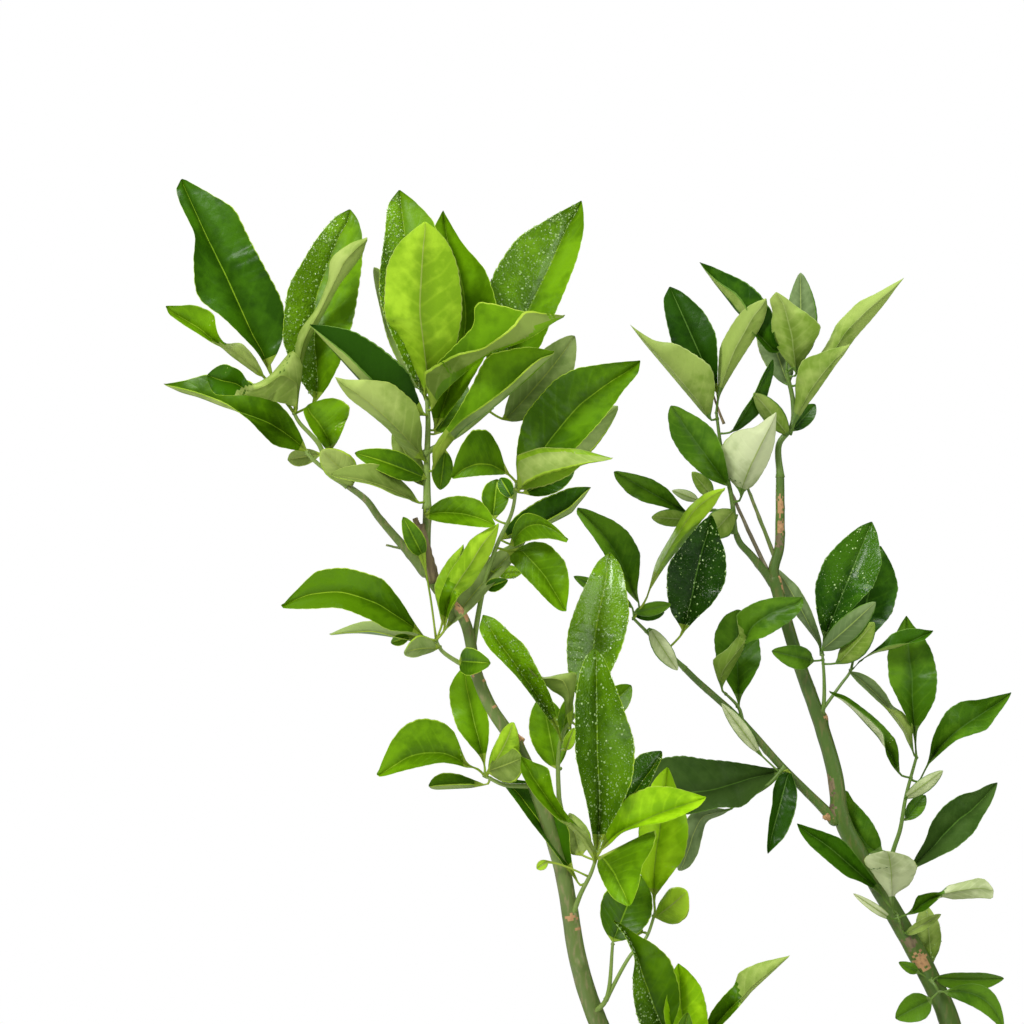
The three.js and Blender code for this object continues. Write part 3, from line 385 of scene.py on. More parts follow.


# Leaf finishes: colour of the blade in painted shade, colour of painted light coming through it, and gloss
leafFinish = {
    "bright": ((0.218, 0.447, 0.002), (0.435, 0.750, 0.012), 0.36),
    "fresh": ((0.086, 0.204, 0.001), (0.171, 0.369, 0.003), 0.34),
    "mid": ((0.051, 0.137, 0.001), (0.108, 0.251, 0.002), 0.34),
    "deep": ((0.023, 0.083, 0.001), (0.052, 0.163, 0.002), 0.32),
    "dark": ((0.010, 0.044, 0.001), (0.024, 0.088, 0.002), 0.32),
    "rear": ((0.018, 0.074, 0.002), (0.056, 0.168, 0.004), 0.32),
    "rearMid": ((0.054, 0.151, 0.004), (0.118, 0.263, 0.011), 0.34),
    "rearDull": ((0.036, 0.088, 0.010), (0.066, 0.135, 0.022), 0.40),
    "light": ((0.198, 0.375, 0.008), (0.385, 0.625, 0.026), 0.42),
    "pale": ((0.235, 0.345, 0.055), (0.410, 0.520, 0.130), 0.55),
    "olive": ((0.130, 0.210, 0.022), (0.260, 0.360, 0.070), 0.55),
    "grey": ((0.170, 0.260, 0.055), (0.300, 0.400, 0.120), 0.55),
    "rearPale": ((0.179, 0.291, 0.030), (0.348, 0.461, 0.103), 0.58),
    "rearGrey": ((0.120, 0.190, 0.060), (0.220, 0.310, 0.120), 0.58),
    "rearWhite": ((0.390, 0.468, 0.208), (0.676, 0.741, 0.429), 0.58),
    "margin": ((0.299, 0.481, 0.026), (0.481, 0.663, 0.058), 0.45),
    "rearMargin": ((0.102, 0.228, 0.024), (0.168, 0.324, 0.042), 0.45),
    "rib": ((0.195, 0.377, 0.010), (0.377, 0.611, 0.026), 0.38),
    "paleRib": ((0.320, 0.440, 0.070), (0.430, 0.540, 0.110), 0.50),
    "rearRib": ((0.081, 0.200, 0.019), (0.138, 0.288, 0.037), 0.40),
    "rearPaleRib": ((0.310, 0.430, 0.100), (0.440, 0.550, 0.170), 0.50),
    "petiole": ((0.260, 0.400, 0.030), (0.380, 0.500, 0.060), 0.45),
    "rearPetiole": ((0.130, 0.250, 0.035), (0.190, 0.320, 0.060), 0.45),
}
# Wet finishes: a coat, more gloss, and a share of painted glints, pale dots for light caught by drops
wetLooks = {
    ("bright", "fresh", "mid", "deep"): {"coat": 0.25, "specular": 0.3, "Glint": 0.85},
    ("dark", "rear", "rearMid"): {"coat": 0.08, "specular": 0.16, "Glint": 0.6},
}


def leafMaterial(name, color, glow, gloss, **wet):
    look = {"specular": 0.12, **wet}
    return newMaterial("leaf " + name, leafSkin, gloss, bump=0.75, depth=0.0003, coatRoughness=0.12, Color=color,
                       Glow_Color=glow, Vein_Color=glow, **look)


leafMaterials = {name: leafMaterial(name, *look) for name, look in leafFinish.items()}
for names, wet in wetLooks.items():
    for name in names:
        leafMaterials[name + "Wet"] = leafMaterial(name + "Wet", *leafFinish[name][:2], 0.26, Wet=1.8, **wet)
finishSlot = {name: k for k, name in enumerate(leafMaterials)}

barkMaterials = [
    newMaterial("young green bark", grain, 0.5, bump=0.7, coat=0.05, Color=(0.135, 0.205, 0.040), Upright=0.3,
                Fleck_Color=(0.30, 0.25, 0.12), Fleck_Share=0.55, Scale=520.0, Cloud_Scale=45.0, Cloud=0.9),
    newMaterial("shaded green bark", grain, 0.5, bump=0.7, coat=0.05, Color=(0.082, 0.160, 0.018), Upright=0.3,
                Fleck_Color=(0.21, 0.17, 0.06), Fleck_Share=0.45, Scale=520.0, Cloud_Scale=45.0, Cloud=0.9),
    newMaterial("grey brown bark", grain, 0.75, bump=0.9, depth=0.0008, Color=(0.155, 0.135, 0.075), Upright=0.4,
                Fleck_Color=(0.30, 0.26, 0.17), Fleck_Share=0.6, Scale=260.0, Cloud_Scale=25.0, Cloud=0.7),
    newMaterial("healed scar", grain, 0.7, bump=0.6, Color=(0.52, 0.29, 0.13),
                Fleck_Color=(0.28, 0.15, 0.07), Fleck_Share=0.8, Scale=500.0, Cloud_Scale=60.0, Cloud=0.8),
    newMaterial("dead wood", grain, 0.8, bump=0.8, Color=(0.23, 0.175, 0.09), Upright=0.4,
                Fleck_Color=(0.10, 0.065, 0.045), Fleck_Share=0.7, Scale=420.0, Cloud_Scale=70.0, Cloud=0.8),
]
greenBark, shadedBark, brownBark, scarBark, deadBark = range(5)

# Trunk and boughs: courses and radii as in the solids, with the bark's relief
trunkShape = {
    "course": [(0, 0, 196), (1, -1, 249), (-3, 1, 304), (-1, 0, 352)], "soilTop": 204, "cutDepth": 4,
    "footRadius": 13, "forkRadius": 10, "flare": 0.75, "flareHeight": 24, "lobes": 4, "lobeDepth": 0.28, "sunk": 8,
    "furrows": 17, "furrow": 0.3, "furrowWander": 1.5, "unevenness": 0.5, "unevenPitch": 1.4, "taperFrom": 0.97,
    "taper": 12, "sides": 96, "stepLength": 1.4,
}
limbShape = {
    "stepLength": 1.3, "sides": 20, "collar": 0.34, "collarLength": 9.0, "ridges": 5, "ridge": 0.022,
    "ridgeTwist": 0.02, "unevenness": 0.035, "lenticelsPerLength": 0.16, "lenticelHeight": 0.28,
    "lenticelLength": 1.6, "lenticelWidth": 0.7, "rootedIn": 5.0, "brownBelow": 520, "brownWander": 26,
    "markWidth": 0.9, "markFall": 1.4, "markEdge": 0.45, "markRagged": 0.25, "endLength": 2.4,
    "endSteps": (0.03, 0.12, 0.3, 0.6), "endRadius": 0.04,
}
# Hidden places of a limb are measured from the pot and shown ones on the sheet. Marks are the scars and knobs of
# the photographed shoots: right, up, length, height and finish.
limbs = {
    "left_bough": {
        "hidden": [(-2, -1, 344), (-72, -21, 428), (-126, -36, 500)],
        "shown": [
            (299.5, 0), (289.5, 30.5), (281.5, 75.5), (270, 112), (260, 136), (244.5, 160), (238, 176), (232, 202),
            (215, 223.5), (213.5, 259.5)],
        "radii": (7.4, 2.1),
        "marks": [
            (285.5, 52.5, 2.2, 0.8, scarBark), (258.5, 142, 4.0, 1.4, scarBark), (289.5, 30.5, 3.5, 1.5, greenBark),
            (237, 177, 4.0, 1.2, scarBark), (215.5, 224, 6.0, 0.9, scarBark), (231, 205, 7.0, 0.7, scarBark),
            (247, 157, 1.2, 0.5, scarBark), (253.5, 146.5, 1.2, 0.5, scarBark), (241.5, 171, 1.4, 0.4, scarBark),
            (287, 47, 1.2, 0.4, scarBark), (256, 138, 9.0, 0.3, deadBark), (224, 213, 9.0, 0.3, deadBark)]},
    "left_side_bough": {
        "shown": [(214.5, 224), (206.5, 233.5), (190, 252.5), (183, 262), (172.5, 270)], "radii": (2.4, 1.5)},
    "right_bough": {
        "hidden": [(2, 2, 344), (36, 36, 426), (50, 56, 492)],
        "shown": [
            (475, 0), (464.5, 24), (446.5, 56.5), (430.5, 83.5), (421, 103), (417.5, 125), (410, 151),
            (399.5, 180.5), (386, 224.5)],
        "radii": (7.8, 3.1),
        "marks": [
            (455, 41, 5.0, 0.3, deadBark), (415, 118, 8.0, 0.3, deadBark), (394, 208, 9.0, 0.4, deadBark),
            (387.5, 226, 7.0, 0.4, deadBark), (460.5, 31.5, 7.0, 0.9, scarBark), (413.5, 105, 4.0, 1.6, deadBark),
            (413, 152.5, 4.0, 1.1, scarBark), (391, 222, 9.0, 0.8, scarBark)]},
    "right_upper_bough": {
        "shown": [(388, 219), (386.8, 227), (389.6, 238), (390, 252), (390, 275)], "radii": (3.0, 2.3), "collar": 0.0,
        "marks": [(389.5, 240, 6.0, 0.3, deadBark), (390, 258, 8.0, 0.4, scarBark), (390, 247, 5.0, 0.5, scarBark)]},
    "right_twin_bough": {
        "shown": [(388, 218), (382.5, 226), (375.5, 234.5), (370, 240.5), (367.5, 246.5)], "radii": (2.6, 1.6),
        "collar": 0.1},
    "right_branch": {
        "shown": [(419.5, 100), (410.5, 109), (391, 128.5), (369.5, 152.5), (347.5, 172.5, 4), (341.5, 178.5, 5)],
        "radii": (2.5, 1.7)},
    "outer_high_bough": {
        "hidden": [(5, -2, 345), (72, -20, 436), (150, -35, 558), (196, -48, 690)], "radii": (7.6, 2.8)},
    "back_high_bough": {
        "hidden": [(3, 4, 343), (62, 84, 428), (142, 160, 540), (184, 184, 650)], "radii": (7.2, 2.8)},
    "right_low_bough": {"hidden": [(6, 1, 330), (86, 38, 396), (176, 58, 436)], "radii": (5.6, 2.4)},
    "front_right_bough": {"hidden": [(4, -5, 334), (50, -72, 408), (104, -120, 462)], "radii": (5.4, 2.3)},
    "front_left_bough": {"hidden": [(-2, -6, 328), (-42, -80, 394), (-84, -130, 432)], "radii": (5.2, 2.3)},
    "back_left_bough": {"hidden": [(-3, 5, 322), (-50, 88, 372), (-92, 142, 396)], "radii": (5.2, 2.3)},
    "left_low_bough": {"hidden": [(-6, 1, 318), (-88, 26, 380), (-164, 38, 414)], "radii": (5.4, 2.3)},
}
for name, limb in limbs.items():
    limb["course"] = courseOf([*limb.get("hidden", ()), *laidOut(name, limb.get("shown", ()))])


def smoothWaves(length, angle, random, waves=7):
    total = np.zeros(np.broadcast(length, angle).shape)
    for _ in range(waves):
        pitch = random.uniform(0.05, 0.5)
        turns = random.integers(0, 4)
        total = total + np.sin(length * pitch + turns * angle + random.uniform(*anyPhase)) / waves
    return total


def angleFrom(turn, angle):
    return (angle - turn + math.pi) % (2 * math.pi) - math.pi


def addLimb(bag, name, limb, random):
    shape, course = limbShape, limb["course"]
    length = course["length"]
    endShares = np.array(shape["endSteps"]) * shape["endLength"] / length
    evenShares = np.linspace(0, 1, int(length / shape["stepLength"]))
    shares = np.unique(np.concatenate([evenShares, endShares, 1 - endShares]))
    centres, sides, others = frames = framed(course, shares)
    angle, run = anglesRound(shape["sides"]), (shares * length)[:, None]
    radius = lerp(*limb["radii"], shares)[:, None] * np.ones_like(angle)
    pastCollar = np.maximum(run - shape["rootedIn"], 0) / shape["collarLength"]
    radius *= 1 + limb.get("collar", shape["collar"]) * np.exp(-pastCollar)
    radius *= 1 + shape["ridge"] * np.cos(shape["ridges"] * angle + shape["ridgeTwist"] * run)
    radius *= 1 + shape["unevenness"] * smoothWaves(run, angle, random)
    for _ in range(int(length * shape["lenticelsPerLength"])):
        where, turn = random.uniform(0, length), random.uniform(0, 2 * math.pi)
        near = (run - where) / shape["lenticelLength"]
        away = np.abs(angleFrom(turn, angle)) * radius.mean() / shape["lenticelWidth"]
        radius += shape["lenticelHeight"] * np.exp(-near ** 2 - away ** 2)
    slots = np.full((len(shares) - 1, shape["sides"]), shadedBark if name.startswith("right") else greenBark)
    brownTop = shape["brownBelow"] + shape["brownWander"] * smoothWaves(run[:-1, 0], 0.0, random)
    slots[centres[:-1, 2] < brownTop] = brownBark
    for right, up, markLength, height, finish in limb.get("marks", ()):
        place, = laidOut(name, [(right, up)])
        nearest = np.argmin(np.linalg.norm(course["places"] - place, axis=1))
        row = min(int(np.searchsorted(shares, course["run"][nearest] / length)), len(shares) - 2)
        outward = place - centres[row] + unit(sheet["eye"] - place)
        turn = math.atan2(np.dot(others[row], outward), np.dot(sides[row], outward))
        near = (run - run[row]) / markLength
        away = angleFrom(turn, angle) / shape["markWidth"]
        mound = np.exp(-(near ** 2 + away ** 2) * shape["markFall"])
        radius += height * mound
        slots[mound[:-1] > shape["markEdge"] + random.uniform(-1, 1, slots.shape) * shape["markRagged"]] = finish
    fromEnd = np.minimum(1, np.minimum(run, length - run) / shape["endLength"])
    radius *= lerp(shape["endRadius"], 1, np.sqrt(1 - (1 - fromEnd) ** 2))
    addRings(bag, tube(frames, angle, radius), slots)


def addTrunk(bag, random):
    shape = trunkShape
    course = courseOf(shape["course"])
    shares = np.linspace(0, 1, int(course["length"] / shape["stepLength"]))
    frames = framed(course, shares)
    angle, run = anglesRound(shape["sides"]), (shares * course["length"])[:, None]
    spread = shape["flare"] * np.exp(-np.maximum(0, run - shape["sunk"]) / shape["flareHeight"])
    radius = lerp(shape["footRadius"], shape["forkRadius"], shares)[:, None]
    radius = radius * (1 + spread * (1 + shape["lobeDepth"] * np.cos(shape["lobes"] * angle)))
    wander = shape["furrowWander"] * smoothWaves(run, angle, random)
    radius += shape["furrow"] * np.cos(shape["furrows"] * angle + wander)
    radius += shape["unevenness"] * smoothWaves(run * shape["unevenPitch"], angle, random)
    radius *= 1 - np.maximum(shares - shape["taperFrom"], 0)[:, None] * shape["taper"]
    heights = frames[0][:, 2]
    heights[:] = np.maximum(heights, shape["soilTop"] - shape["cutDepth"])
    addRings(bag, tube(frames, angle, radius), brownBark)


# A broken stub: a short tapering stick with a ragged end
stubShape = {"rows": 14, "sides": 10, "bend": 0.4, "ragged": 0.16}
stubs = [
    (on(217, 221), on(209, 249.5, -3), 3.4, 3.0, deadBark), (on(210, 247, -3), on(207.5, 253, -3), 1.8, 1.2, deadBark),
    (on(203, 237.5), on(193, 239.5), 0.8, 0.5, greenBark), (rear(390, 300), rear(388.5, 304.5), 1.6, 1.3, deadBark),
    (rear(362, 300), rear(356.5, 315), 0.9, 0.4, deadBark), (rear(384, 226), rear(365.5, 266), 1.3, 0.8, brownBark),
    (rear(387.5, 233), rear(373, 270), 1.3, 0.8, greenBark),
    (rear(418, 103.5), rear(412.5, 104.6, 2), 2.8, 2.0, scarBark),
    (on(261, 141), on(257.2, 143, 2), 2.2, 1.6, scarBark), (on(238, 179), on(234.6, 179.6, 2), 1.9, 1.5, scarBark),
]


def addStub(bag, start, end, fromRadius, toRadius, finish, random):
    shape = stubShape
    course = courseOf([start, lerp(start, end, 0.5) + random.normal(0, shape["bend"], 3), end])
    shares = np.linspace(0, 1, shape["rows"])
    ragged = shape["ragged"] * random.normal(0, 1, (shape["rows"], shape["sides"])) * shares[:, None]
    radius = lerp(fromRadius, toRadius, shares)[:, None] * (1 + ragged)
    addRings(bag, tube(framed(course, shares), anglesRound(shape["sides"]), radius), finish)


random = np.random.default_rng(4)
barkBag = newBag()
addTrunk(barkBag, random)
for name, limb in limbs.items():
    addLimb(barkBag, name, limb, random)
for stub in stubs:
    addStub(barkBag, *stub, random)
addMesh("bark", barkBag, barkMaterials, ["trunk", *limbs])

# Leaves. A leaf is one closed skin: rings of points run round it from the petiole to the tip, over the upper face
# and back along the underside, so that the margin and the midrib have faces of their own.
leafShape = {
    "rowsPerLength": 0.62, "leastRows": 14, "mostRows": 56, "thickness": 0.34, "fold": 0.34, "foldPower": 1.35,
    "marginWidth": 0.38, "ribWidth": 0.34, "ribRise": 0.55, "groove": 0.34, "widest": 0.86, "bluntness": 0.68,
    "tooth": 0.018, "toothRows": 3, "wave": 0.085, "waves": 1.6, "tipCurl": 0.05, "curlFrom": 0.6,
    "petioleRadius": 0.62, "petioleSteps": 7, "petioleFlare": 0.35, "petioleSag": 0.04, "slimPetiole": 0.75,
    "broadLeaf": 24, "leastPetiole": 1.2, "turnSlant": 0.07, "tipRing": 0.2, "tipReach": 0.8, "pinch": 0.2,
    "footShare": 0.22, "leastHalf": 0.5, "slimShare": 0.3, "stalkWidth": 2.4, "stalkShare": 0.17,
}
# A blade seen from one side: its true width by length, how far a half may rise, how a turned half lies, its bow
seenShape = {
    "trueWidth": 0.38, "leastWidth": 0.08, "leastRise": 0.16, "mostRise": 0.62, "foldedOver": 0.03,
    "foldedRise": 0.35, "otherDip": 0.08, "bow": 0.03, "waves": 2.56, "waveLift": 0.6, "turnLength": 0.1,
}
undersideOf = {
    "bright": "pale", "fresh": "pale", "mid": "pale", "deep": "grey", "dark": "grey", "rear": "rearPale",
    "rearMid": "rearPale", "rearDull": "rearGrey", "rearWhite": "rear", "light": "fresh", "pale": "mid",
    "grey": "deep", "olive": "deep", "rearGrey": "rear", "rearPale": "rear",
}
undersides = ("pale", "grey", "light", "olive", "rearPale", "rearGrey", "rearWhite")


def bladeWidth(share):
    return np.sin(math.pi * share ** leafShape["widest"]) ** leafShape["bluntness"]


# Every few rows of a blade are a little narrower, as teeth
def toothed(s):
    return 1 - leafShape["tooth"] * (np.arange(len(s)) % leafShape["toothRows"] == 0)


# Places across a blade from -1 to 1 over the upper face, then back under it
def acrossPlaces(half):
    margin = 1 - min(0.15, leafShape["marginWidth"] / half)
    rib = min(0.2, leafShape["ribWidth"] / half)
    top = [-1, -margin, -0.72, -0.42, -rib, 0, rib, 0.42, 0.72, margin, 1]
    under = [0.9, 0.6, 0.3, rib, 0, -rib, -0.3, -0.6, -0.9]
    return np.array(top + under), len(top)


# How far each place lies under the blade's face: its thickness, the midrib's keel below and its groove above
def skinBelow(s, places, topCount, underside=0):
    ribHeight = leafShape["ribRise"] * (1.15 - s)
    below = np.zeros((len(s), len(places)))
    below[:, topCount:] = leafShape["thickness"]
    keel = topCount + 4
    for column, part in ((keel, 1), (keel - 1, 0.25), (keel + 1, 0.25)):
        below[:, column] += part * ribHeight
    below[:, topCount // 2] += leafShape["groove"] - (leafShape["groove"] + ribHeight * 0.9) * underside
    return below


# A smooth line through values at places, flat where they turn
def smoothLine(s, places, values):
    steps = np.diff(places)
    slopes = np.diff(values) / steps
    both = slopes[:-1] * slopes[1:]
    ways = np.zeros(len(places))
    ways[1:-1] = np.where(both > 0, 2 * both / np.where(both > 0, slopes[:-1] + slopes[1:], 1), 0)
    ways[0], ways[-1] = slopes[0], slopes[-1]
    k = np.clip(np.searchsorted(places, s, side="right") - 1, 0, len(steps) - 1)
    t, h = (s - places[k]) / steps[k], steps[k]
    return ((2 * t ** 3 - 3 * t ** 2 + 1) * values[k] + (t ** 3 - 2 * t ** 2 + t) * h * ways[k]
            + (3 * t ** 2 - 2 * t ** 3) * values[k + 1] + (t ** 3 - t ** 2) * h * ways[k + 1])


# Blade of a leaf whose edges are given as the eye sees them. A half that looks narrower than it is rises towards
# the eye, or away from it where the underside shows.
def givenBlade(leaf, s, places, topCount, random):
    shape, width, toEye = seenShape, leaf["width"], leaf["facing"]
    length = np.linalg.norm(leaf["tip"] - leaf["foot"])
    way = (leaf["tip"] - leaf["foot"]) / length
    aside = unit(np.cross(way, toEye))
    flat = np.linalg.norm(way - toEye * np.dot(way, toEye)) * length / 100
    table = np.array([(0, 0, 0, 0), *leaf["edges"], (100, 0, 0, 0)], float)
    left, rib, right = (smoothLine(s * 100, table[:, 0], table[:, k]) * flat for k in (1, 2, 3))
    underside = np.full(len(s), float(leaf["tone"].split("/")[0] in undersides))
    if "turn" in leaf:
        underside = np.abs(underside - np.clip((s - leaf["turn"]) / shape["turnLength"] + 0.5, 0, 1))
    trueHalf = max(width, shape["trueWidth"] * length) / 2 * np.maximum(bladeWidth(s), shape["leastWidth"])
    slim = np.clip(np.abs(left - right) / (leafShape["slimShare"] * width), 0.1, 1)
    atFoot = s < leafShape["footShare"]
    reaches, rises = [], []
    for side, edge in ((-1, left), (1, right)):
        reach = side * (edge - rib) * toothed(s)
        reach = np.where(atFoot & (reach > 0), np.maximum(reach, leafShape["leastHalf"]), reach)
        rise = np.sqrt(np.maximum(trueHalf ** 2 - reach ** 2, (shape["leastRise"] * reach) ** 2))
        reaches.append(reach)
        rises.append(np.minimum(rise, shape["mostRise"] * trueHalf) * np.where(atFoot, slim, 1))
    folded = [np.clip(-reach / (shape["foldedOver"] * length), 0, 1) for reach in reaches]
    for k in (0, 1):
        size, otherFolded = np.abs(reaches[k]), folded[1 - k]
        spreadOut = rises[k] * (1 - 2 * underside) * (1 - otherFolded) - shape["otherDip"] * size * otherFolded
        rises[k] = lerp(spreadOut, np.maximum(rises[k], shape["foldedRise"] * size), folded[k])
    bow = shape["bow"] * 4 * s * (1 - s) * length
    centre = leaf["foot"] + way * (s * length)[:, None] + aside * rib[:, None] + toEye * bow[:, None]
    sides, share = np.sign(places), np.abs(places)
    reach, rise = (np.where(places < 0, first[:, None], last[:, None]) for first, last in (reaches, rises))
    phase = random.uniform(*anyPhase)
    wave = np.sin(2 * math.pi * shape["waves"] * s[:, None] + phase + sides) * leaf.get("wave", leafShape["wave"])
    lift = rise * share ** leafShape["foldPower"] + wave * trueHalf[:, None] * shape["waveLift"] * share ** 3
    size = np.hypot(reach, rise) + 1e-6
    normalSide = -rise / size * np.minimum(1, share * 3)
    normalUp = np.where(share < 0.05, 1, reach / size)
    breadth = np.abs(left - right) + 0.5
    below = skinBelow(s, places, topCount, underside) * np.minimum(1, breadth / (leafShape["pinch"] * width))[:, None]
    lateral = sides * (reach * share - normalSide * below)
    rings = centre[:, None] + aside * lateral[..., None] + toEye * (lift - normalUp * below)[..., None]
    return rings, aside, toEye


# Blade of a leaf laid out by its width, roll, bow and sweep
def plainBlade(leaf, s, places, topCount, random):
    foot, width, roll = leaf["foot"], leaf["width"], math.radians(leaf["roll"])
    length = np.linalg.norm(leaf["tip"] - foot)
    way = (leaf["tip"] - foot) / length
    front = unit(leaf["facing"] - way * np.dot(leaf["facing"], way))
    aside = np.cross(way, front)
    up, across = (side * math.cos(roll) + np.cross(way, side) * math.sin(roll) for side in (front, aside))
    hump = 4 * s * (1 - s)
    curl = random.uniform(-1, 0.6) * leafShape["tipCurl"]
    bend = np.maximum(0, (s - leafShape["curlFrom"]) / (1 - leafShape["curlFrom"])) ** 2 * curl
    lifted = (leaf["bow"] * hump + bend) * length
    centre = foot + np.outer(s * length, way) + np.outer(lifted, up) + np.outer(leaf["sweep"] * hump * length, aside)
    half = np.maximum(width / 2 * bladeWidth(s) * toothed(s), 0.25)[:, None]
    fold = leafShape["fold"] * random.uniform(0.8, 1.2) * np.abs(places) ** leafShape["foldPower"]
    phase = random.uniform(*anyPhase) + np.sign(places) * random.uniform(0.5, 2.2)
    wave = np.sin(2 * math.pi * leafShape["waves"] * s[:, None] + phase) * leafShape["wave"]
    rise = half * (fold + wave * places ** 2 * hump[:, None])
    rise = rise - skinBelow(s, places, topCount) * np.minimum(1, half / (leafShape["pinch"] * width))
    rings = centre[:, None] + across * (half * places)[..., None] + up * rise[..., None]
    return rings, across, up


# Finishes round a leaf: margin, blade, midrib and blade of the face that is seen, then the same of the other face
def leafColumns(seen, other, wet):
    rearLeaf = seen.startswith(("rear", "dark"))
    margin, rib, paleRib = ("rearMargin", "rearRib", "rearPaleRib") if rearLeaf else ("margin", "rib", "paleRib")
    left, right = (seen + "Wet" * (wet in states and seen not in undersides) for states in (("left", "all"), ("all",)))
    seenRib, otherRib = (paleRib if face in undersides else rib for face in (seen, other))
    seenMargin = paleRib if seen in undersides else margin
    columns = [seenMargin] + [left] * 3 + [seenRib] * 2 + [right] * 3 + [seenMargin]
    columns += [margin] + [other] * 3 + [otherRib] * 2 + [other] * 3 + [margin]
    return np.array([finishSlot[name] for name in columns])


# Rings of the petiole from the twig to the blade's foot
def petioleRings(leaf, way, across, up, count):
    shape, root, foot = leafShape, leaf["root"], leaf["foot"]
    middle = lerp(root, foot, 0.55) - way * np.linalg.norm(foot - root) * shape["petioleSag"]
    centres, ways = along(courseOf([root, middle, foot], 12), np.linspace(0, 1, shape["petioleSteps"]))
    angle = anglesRound(count) - math.pi / 2
    radius = shape["petioleRadius"] * lerp(shape["slimPetiole"], 1, min(1, leaf["width"] / shape["broadLeaf"]))
    rings = []
    for k, (centre, ahead) in enumerate(zip(centres[:-1], ways[:-1])):
        ringSide = unit(across - ahead * np.dot(across, ahead))
        ringUp = np.cross(ringSide, ahead)
        ringUp = ringUp * np.sign(np.dot(ringUp, up) or 1)
        swollen = radius * (1 + shape["petioleFlare"] * (k == 0))
        rings.append(centre + swollen * (np.sin(angle)[:, None] * ringSide + np.cos(angle)[:, None] * ringUp))
    return rings


def addLeaf(bag, leaf, random):
    shape, width, given = leafShape, leaf["width"], "edges" in leaf
    length = np.linalg.norm(leaf["tip"] - leaf["foot"])
    way = (leaf["tip"] - leaf["foot"]) / length
    rows = length * shape["rowsPerLength"] * leaf.get("fineness", 1)
    rows = int(np.clip(rows, shape["leastRows"], shape["mostRows"]))
    s = np.linspace(0, 1, rows + 2)[1:-1]
    places, topCount = acrossPlaces(width / 2)
    rings, across, up = (givenBlade if given else plainBlade)(leaf, s, places, topCount, random)

    seen, *others = leaf["tone"].split("/")
    other = others[0] if others else undersideOf[seen]
    if others and not given and math.cos(math.radians(leaf["roll"])) < 0:
        seen, other = other, seen
    petiole = finishSlot["rearPetiole" if seen.startswith("rear") else "petiole"]
    wet = leaf.get("wet", "none")
    slots = np.broadcast_to(leafColumns(seen, other, wet), (rows - 1, len(places)))
    if "turn" in leaf:
        turned = s[:-1, None] + shape["turnSlant"] * places > leaf["turn"]
        slots = np.where(turned, leafColumns(other, seen, wet), slots)
    breadth = np.linalg.norm(rings[:, 0] - rings[:, topCount - 1], axis=1)
    stalked = (breadth < max(shape["stalkWidth"], shape["stalkShare"] * width)) & (s < shape["footShare"])
    slots = np.where(stalked[:-1, None], petiole, slots)
    uv = np.stack(np.broadcast_arrays((places * 0.5 + 0.5)[None], s[:, None]), -1)

    if np.linalg.norm(leaf["foot"] - leaf["root"]) > shape["leastPetiole"]:
        neck = petioleRings(leaf, way, across, up, len(places))
        rings = np.concatenate([neck, rings])
        slots = np.concatenate([np.full((len(neck), len(places)), petiole), slots])
        uv = np.concatenate([np.full((len(neck), len(places), 2), 0.5), uv])
    tipRing = lerp(rings[-1].mean(0), rings[-1], shape["tipRing"]) + way * length / (rows + 1) * shape["tipReach"]
    addRings(bag, np.concatenate([rings, tipRing[None]]), np.concatenate([slots, slots[-1:]]),
             np.concatenate([uv, uv[-1:]]))
    return rings[-rows:, :topCount]


# Drops of water on a wet leaf, set on its upper face
dropShape = {
    "perArea": 0.14, "sides": 6, "radius": (0.17, 0.72), "levels": ((-0.1, 0, 0.9), (0, 0.2, 1), (0, 0.55, 0.62)),
    "shadedShare": 0.5, "fromEdge": (0.3, 1.4), "fromRib": 0.8,
}
wetPlaces = []


def wetLeaf(face, part, random, density):
    rows, across = face.shape[:2]
    area = np.linalg.norm(face[0, 0] - face[-1, 0]) * np.linalg.norm(face[rows // 2, 0] - face[rows // 2, -1])
    low, high = dropShape["fromEdge"][0], across - dropShape["fromEdge"][1]
    if part == "left":
        high = across / 2 - dropShape["fromRib"]
    for _ in range(int(area * dropShape["perArea"] * density)):
        row, column = random.uniform(1, rows - 2), random.uniform(low, high)
        i, j = int(row), int(column)
        corner, ahead, beside = face[i, j], face[i + 1, j] - face[i, j], face[i, j + 1] - face[i, j]
        place = corner + ahead * (row - i) + beside * (column - j)
        radius = lerp(*dropShape["radius"], random.uniform() ** 2)
        wetPlaces.append((place, unit(np.cross(beside, ahead)), unit(ahead), radius))


# Twigs: slim tubes, with a small bud beside each petiole
twigShape = {
    "sides": 8, "stepLength": 2.2, "leastRows": 6, "rootedIn": 2.5, "collar": 0.35, "collarLength": 2.5,
    "ridges": 3, "ridge": 0.07, "blunt": 0.5, "inset": 1.3, "sideRadius": 0.8, "tipRadius": 0.55, "bud": 1.0,
    "budPlaces": (-0.6, 1, 2.2), "budRadii": (0.8, 0.25),
}
twigMaterials = [
    newMaterial("green twig", grain, 0.5, bump=0.3, coat=0.1, Color=(0.20, 0.31, 0.05),
                Fleck_Color=(0.27, 0.34, 0.10), Fleck_Share=0.5, Scale=500.0, Cloud_Scale=40.0, Cloud=0.5),
    newMaterial("shaded twig", grain, 0.5, bump=0.3, coat=0.1, Color=(0.13, 0.235, 0.030),
                Fleck_Color=(0.20, 0.28, 0.07), Fleck_Share=0.5, Scale=500.0, Cloud_Scale=40.0, Cloud=0.5),
]


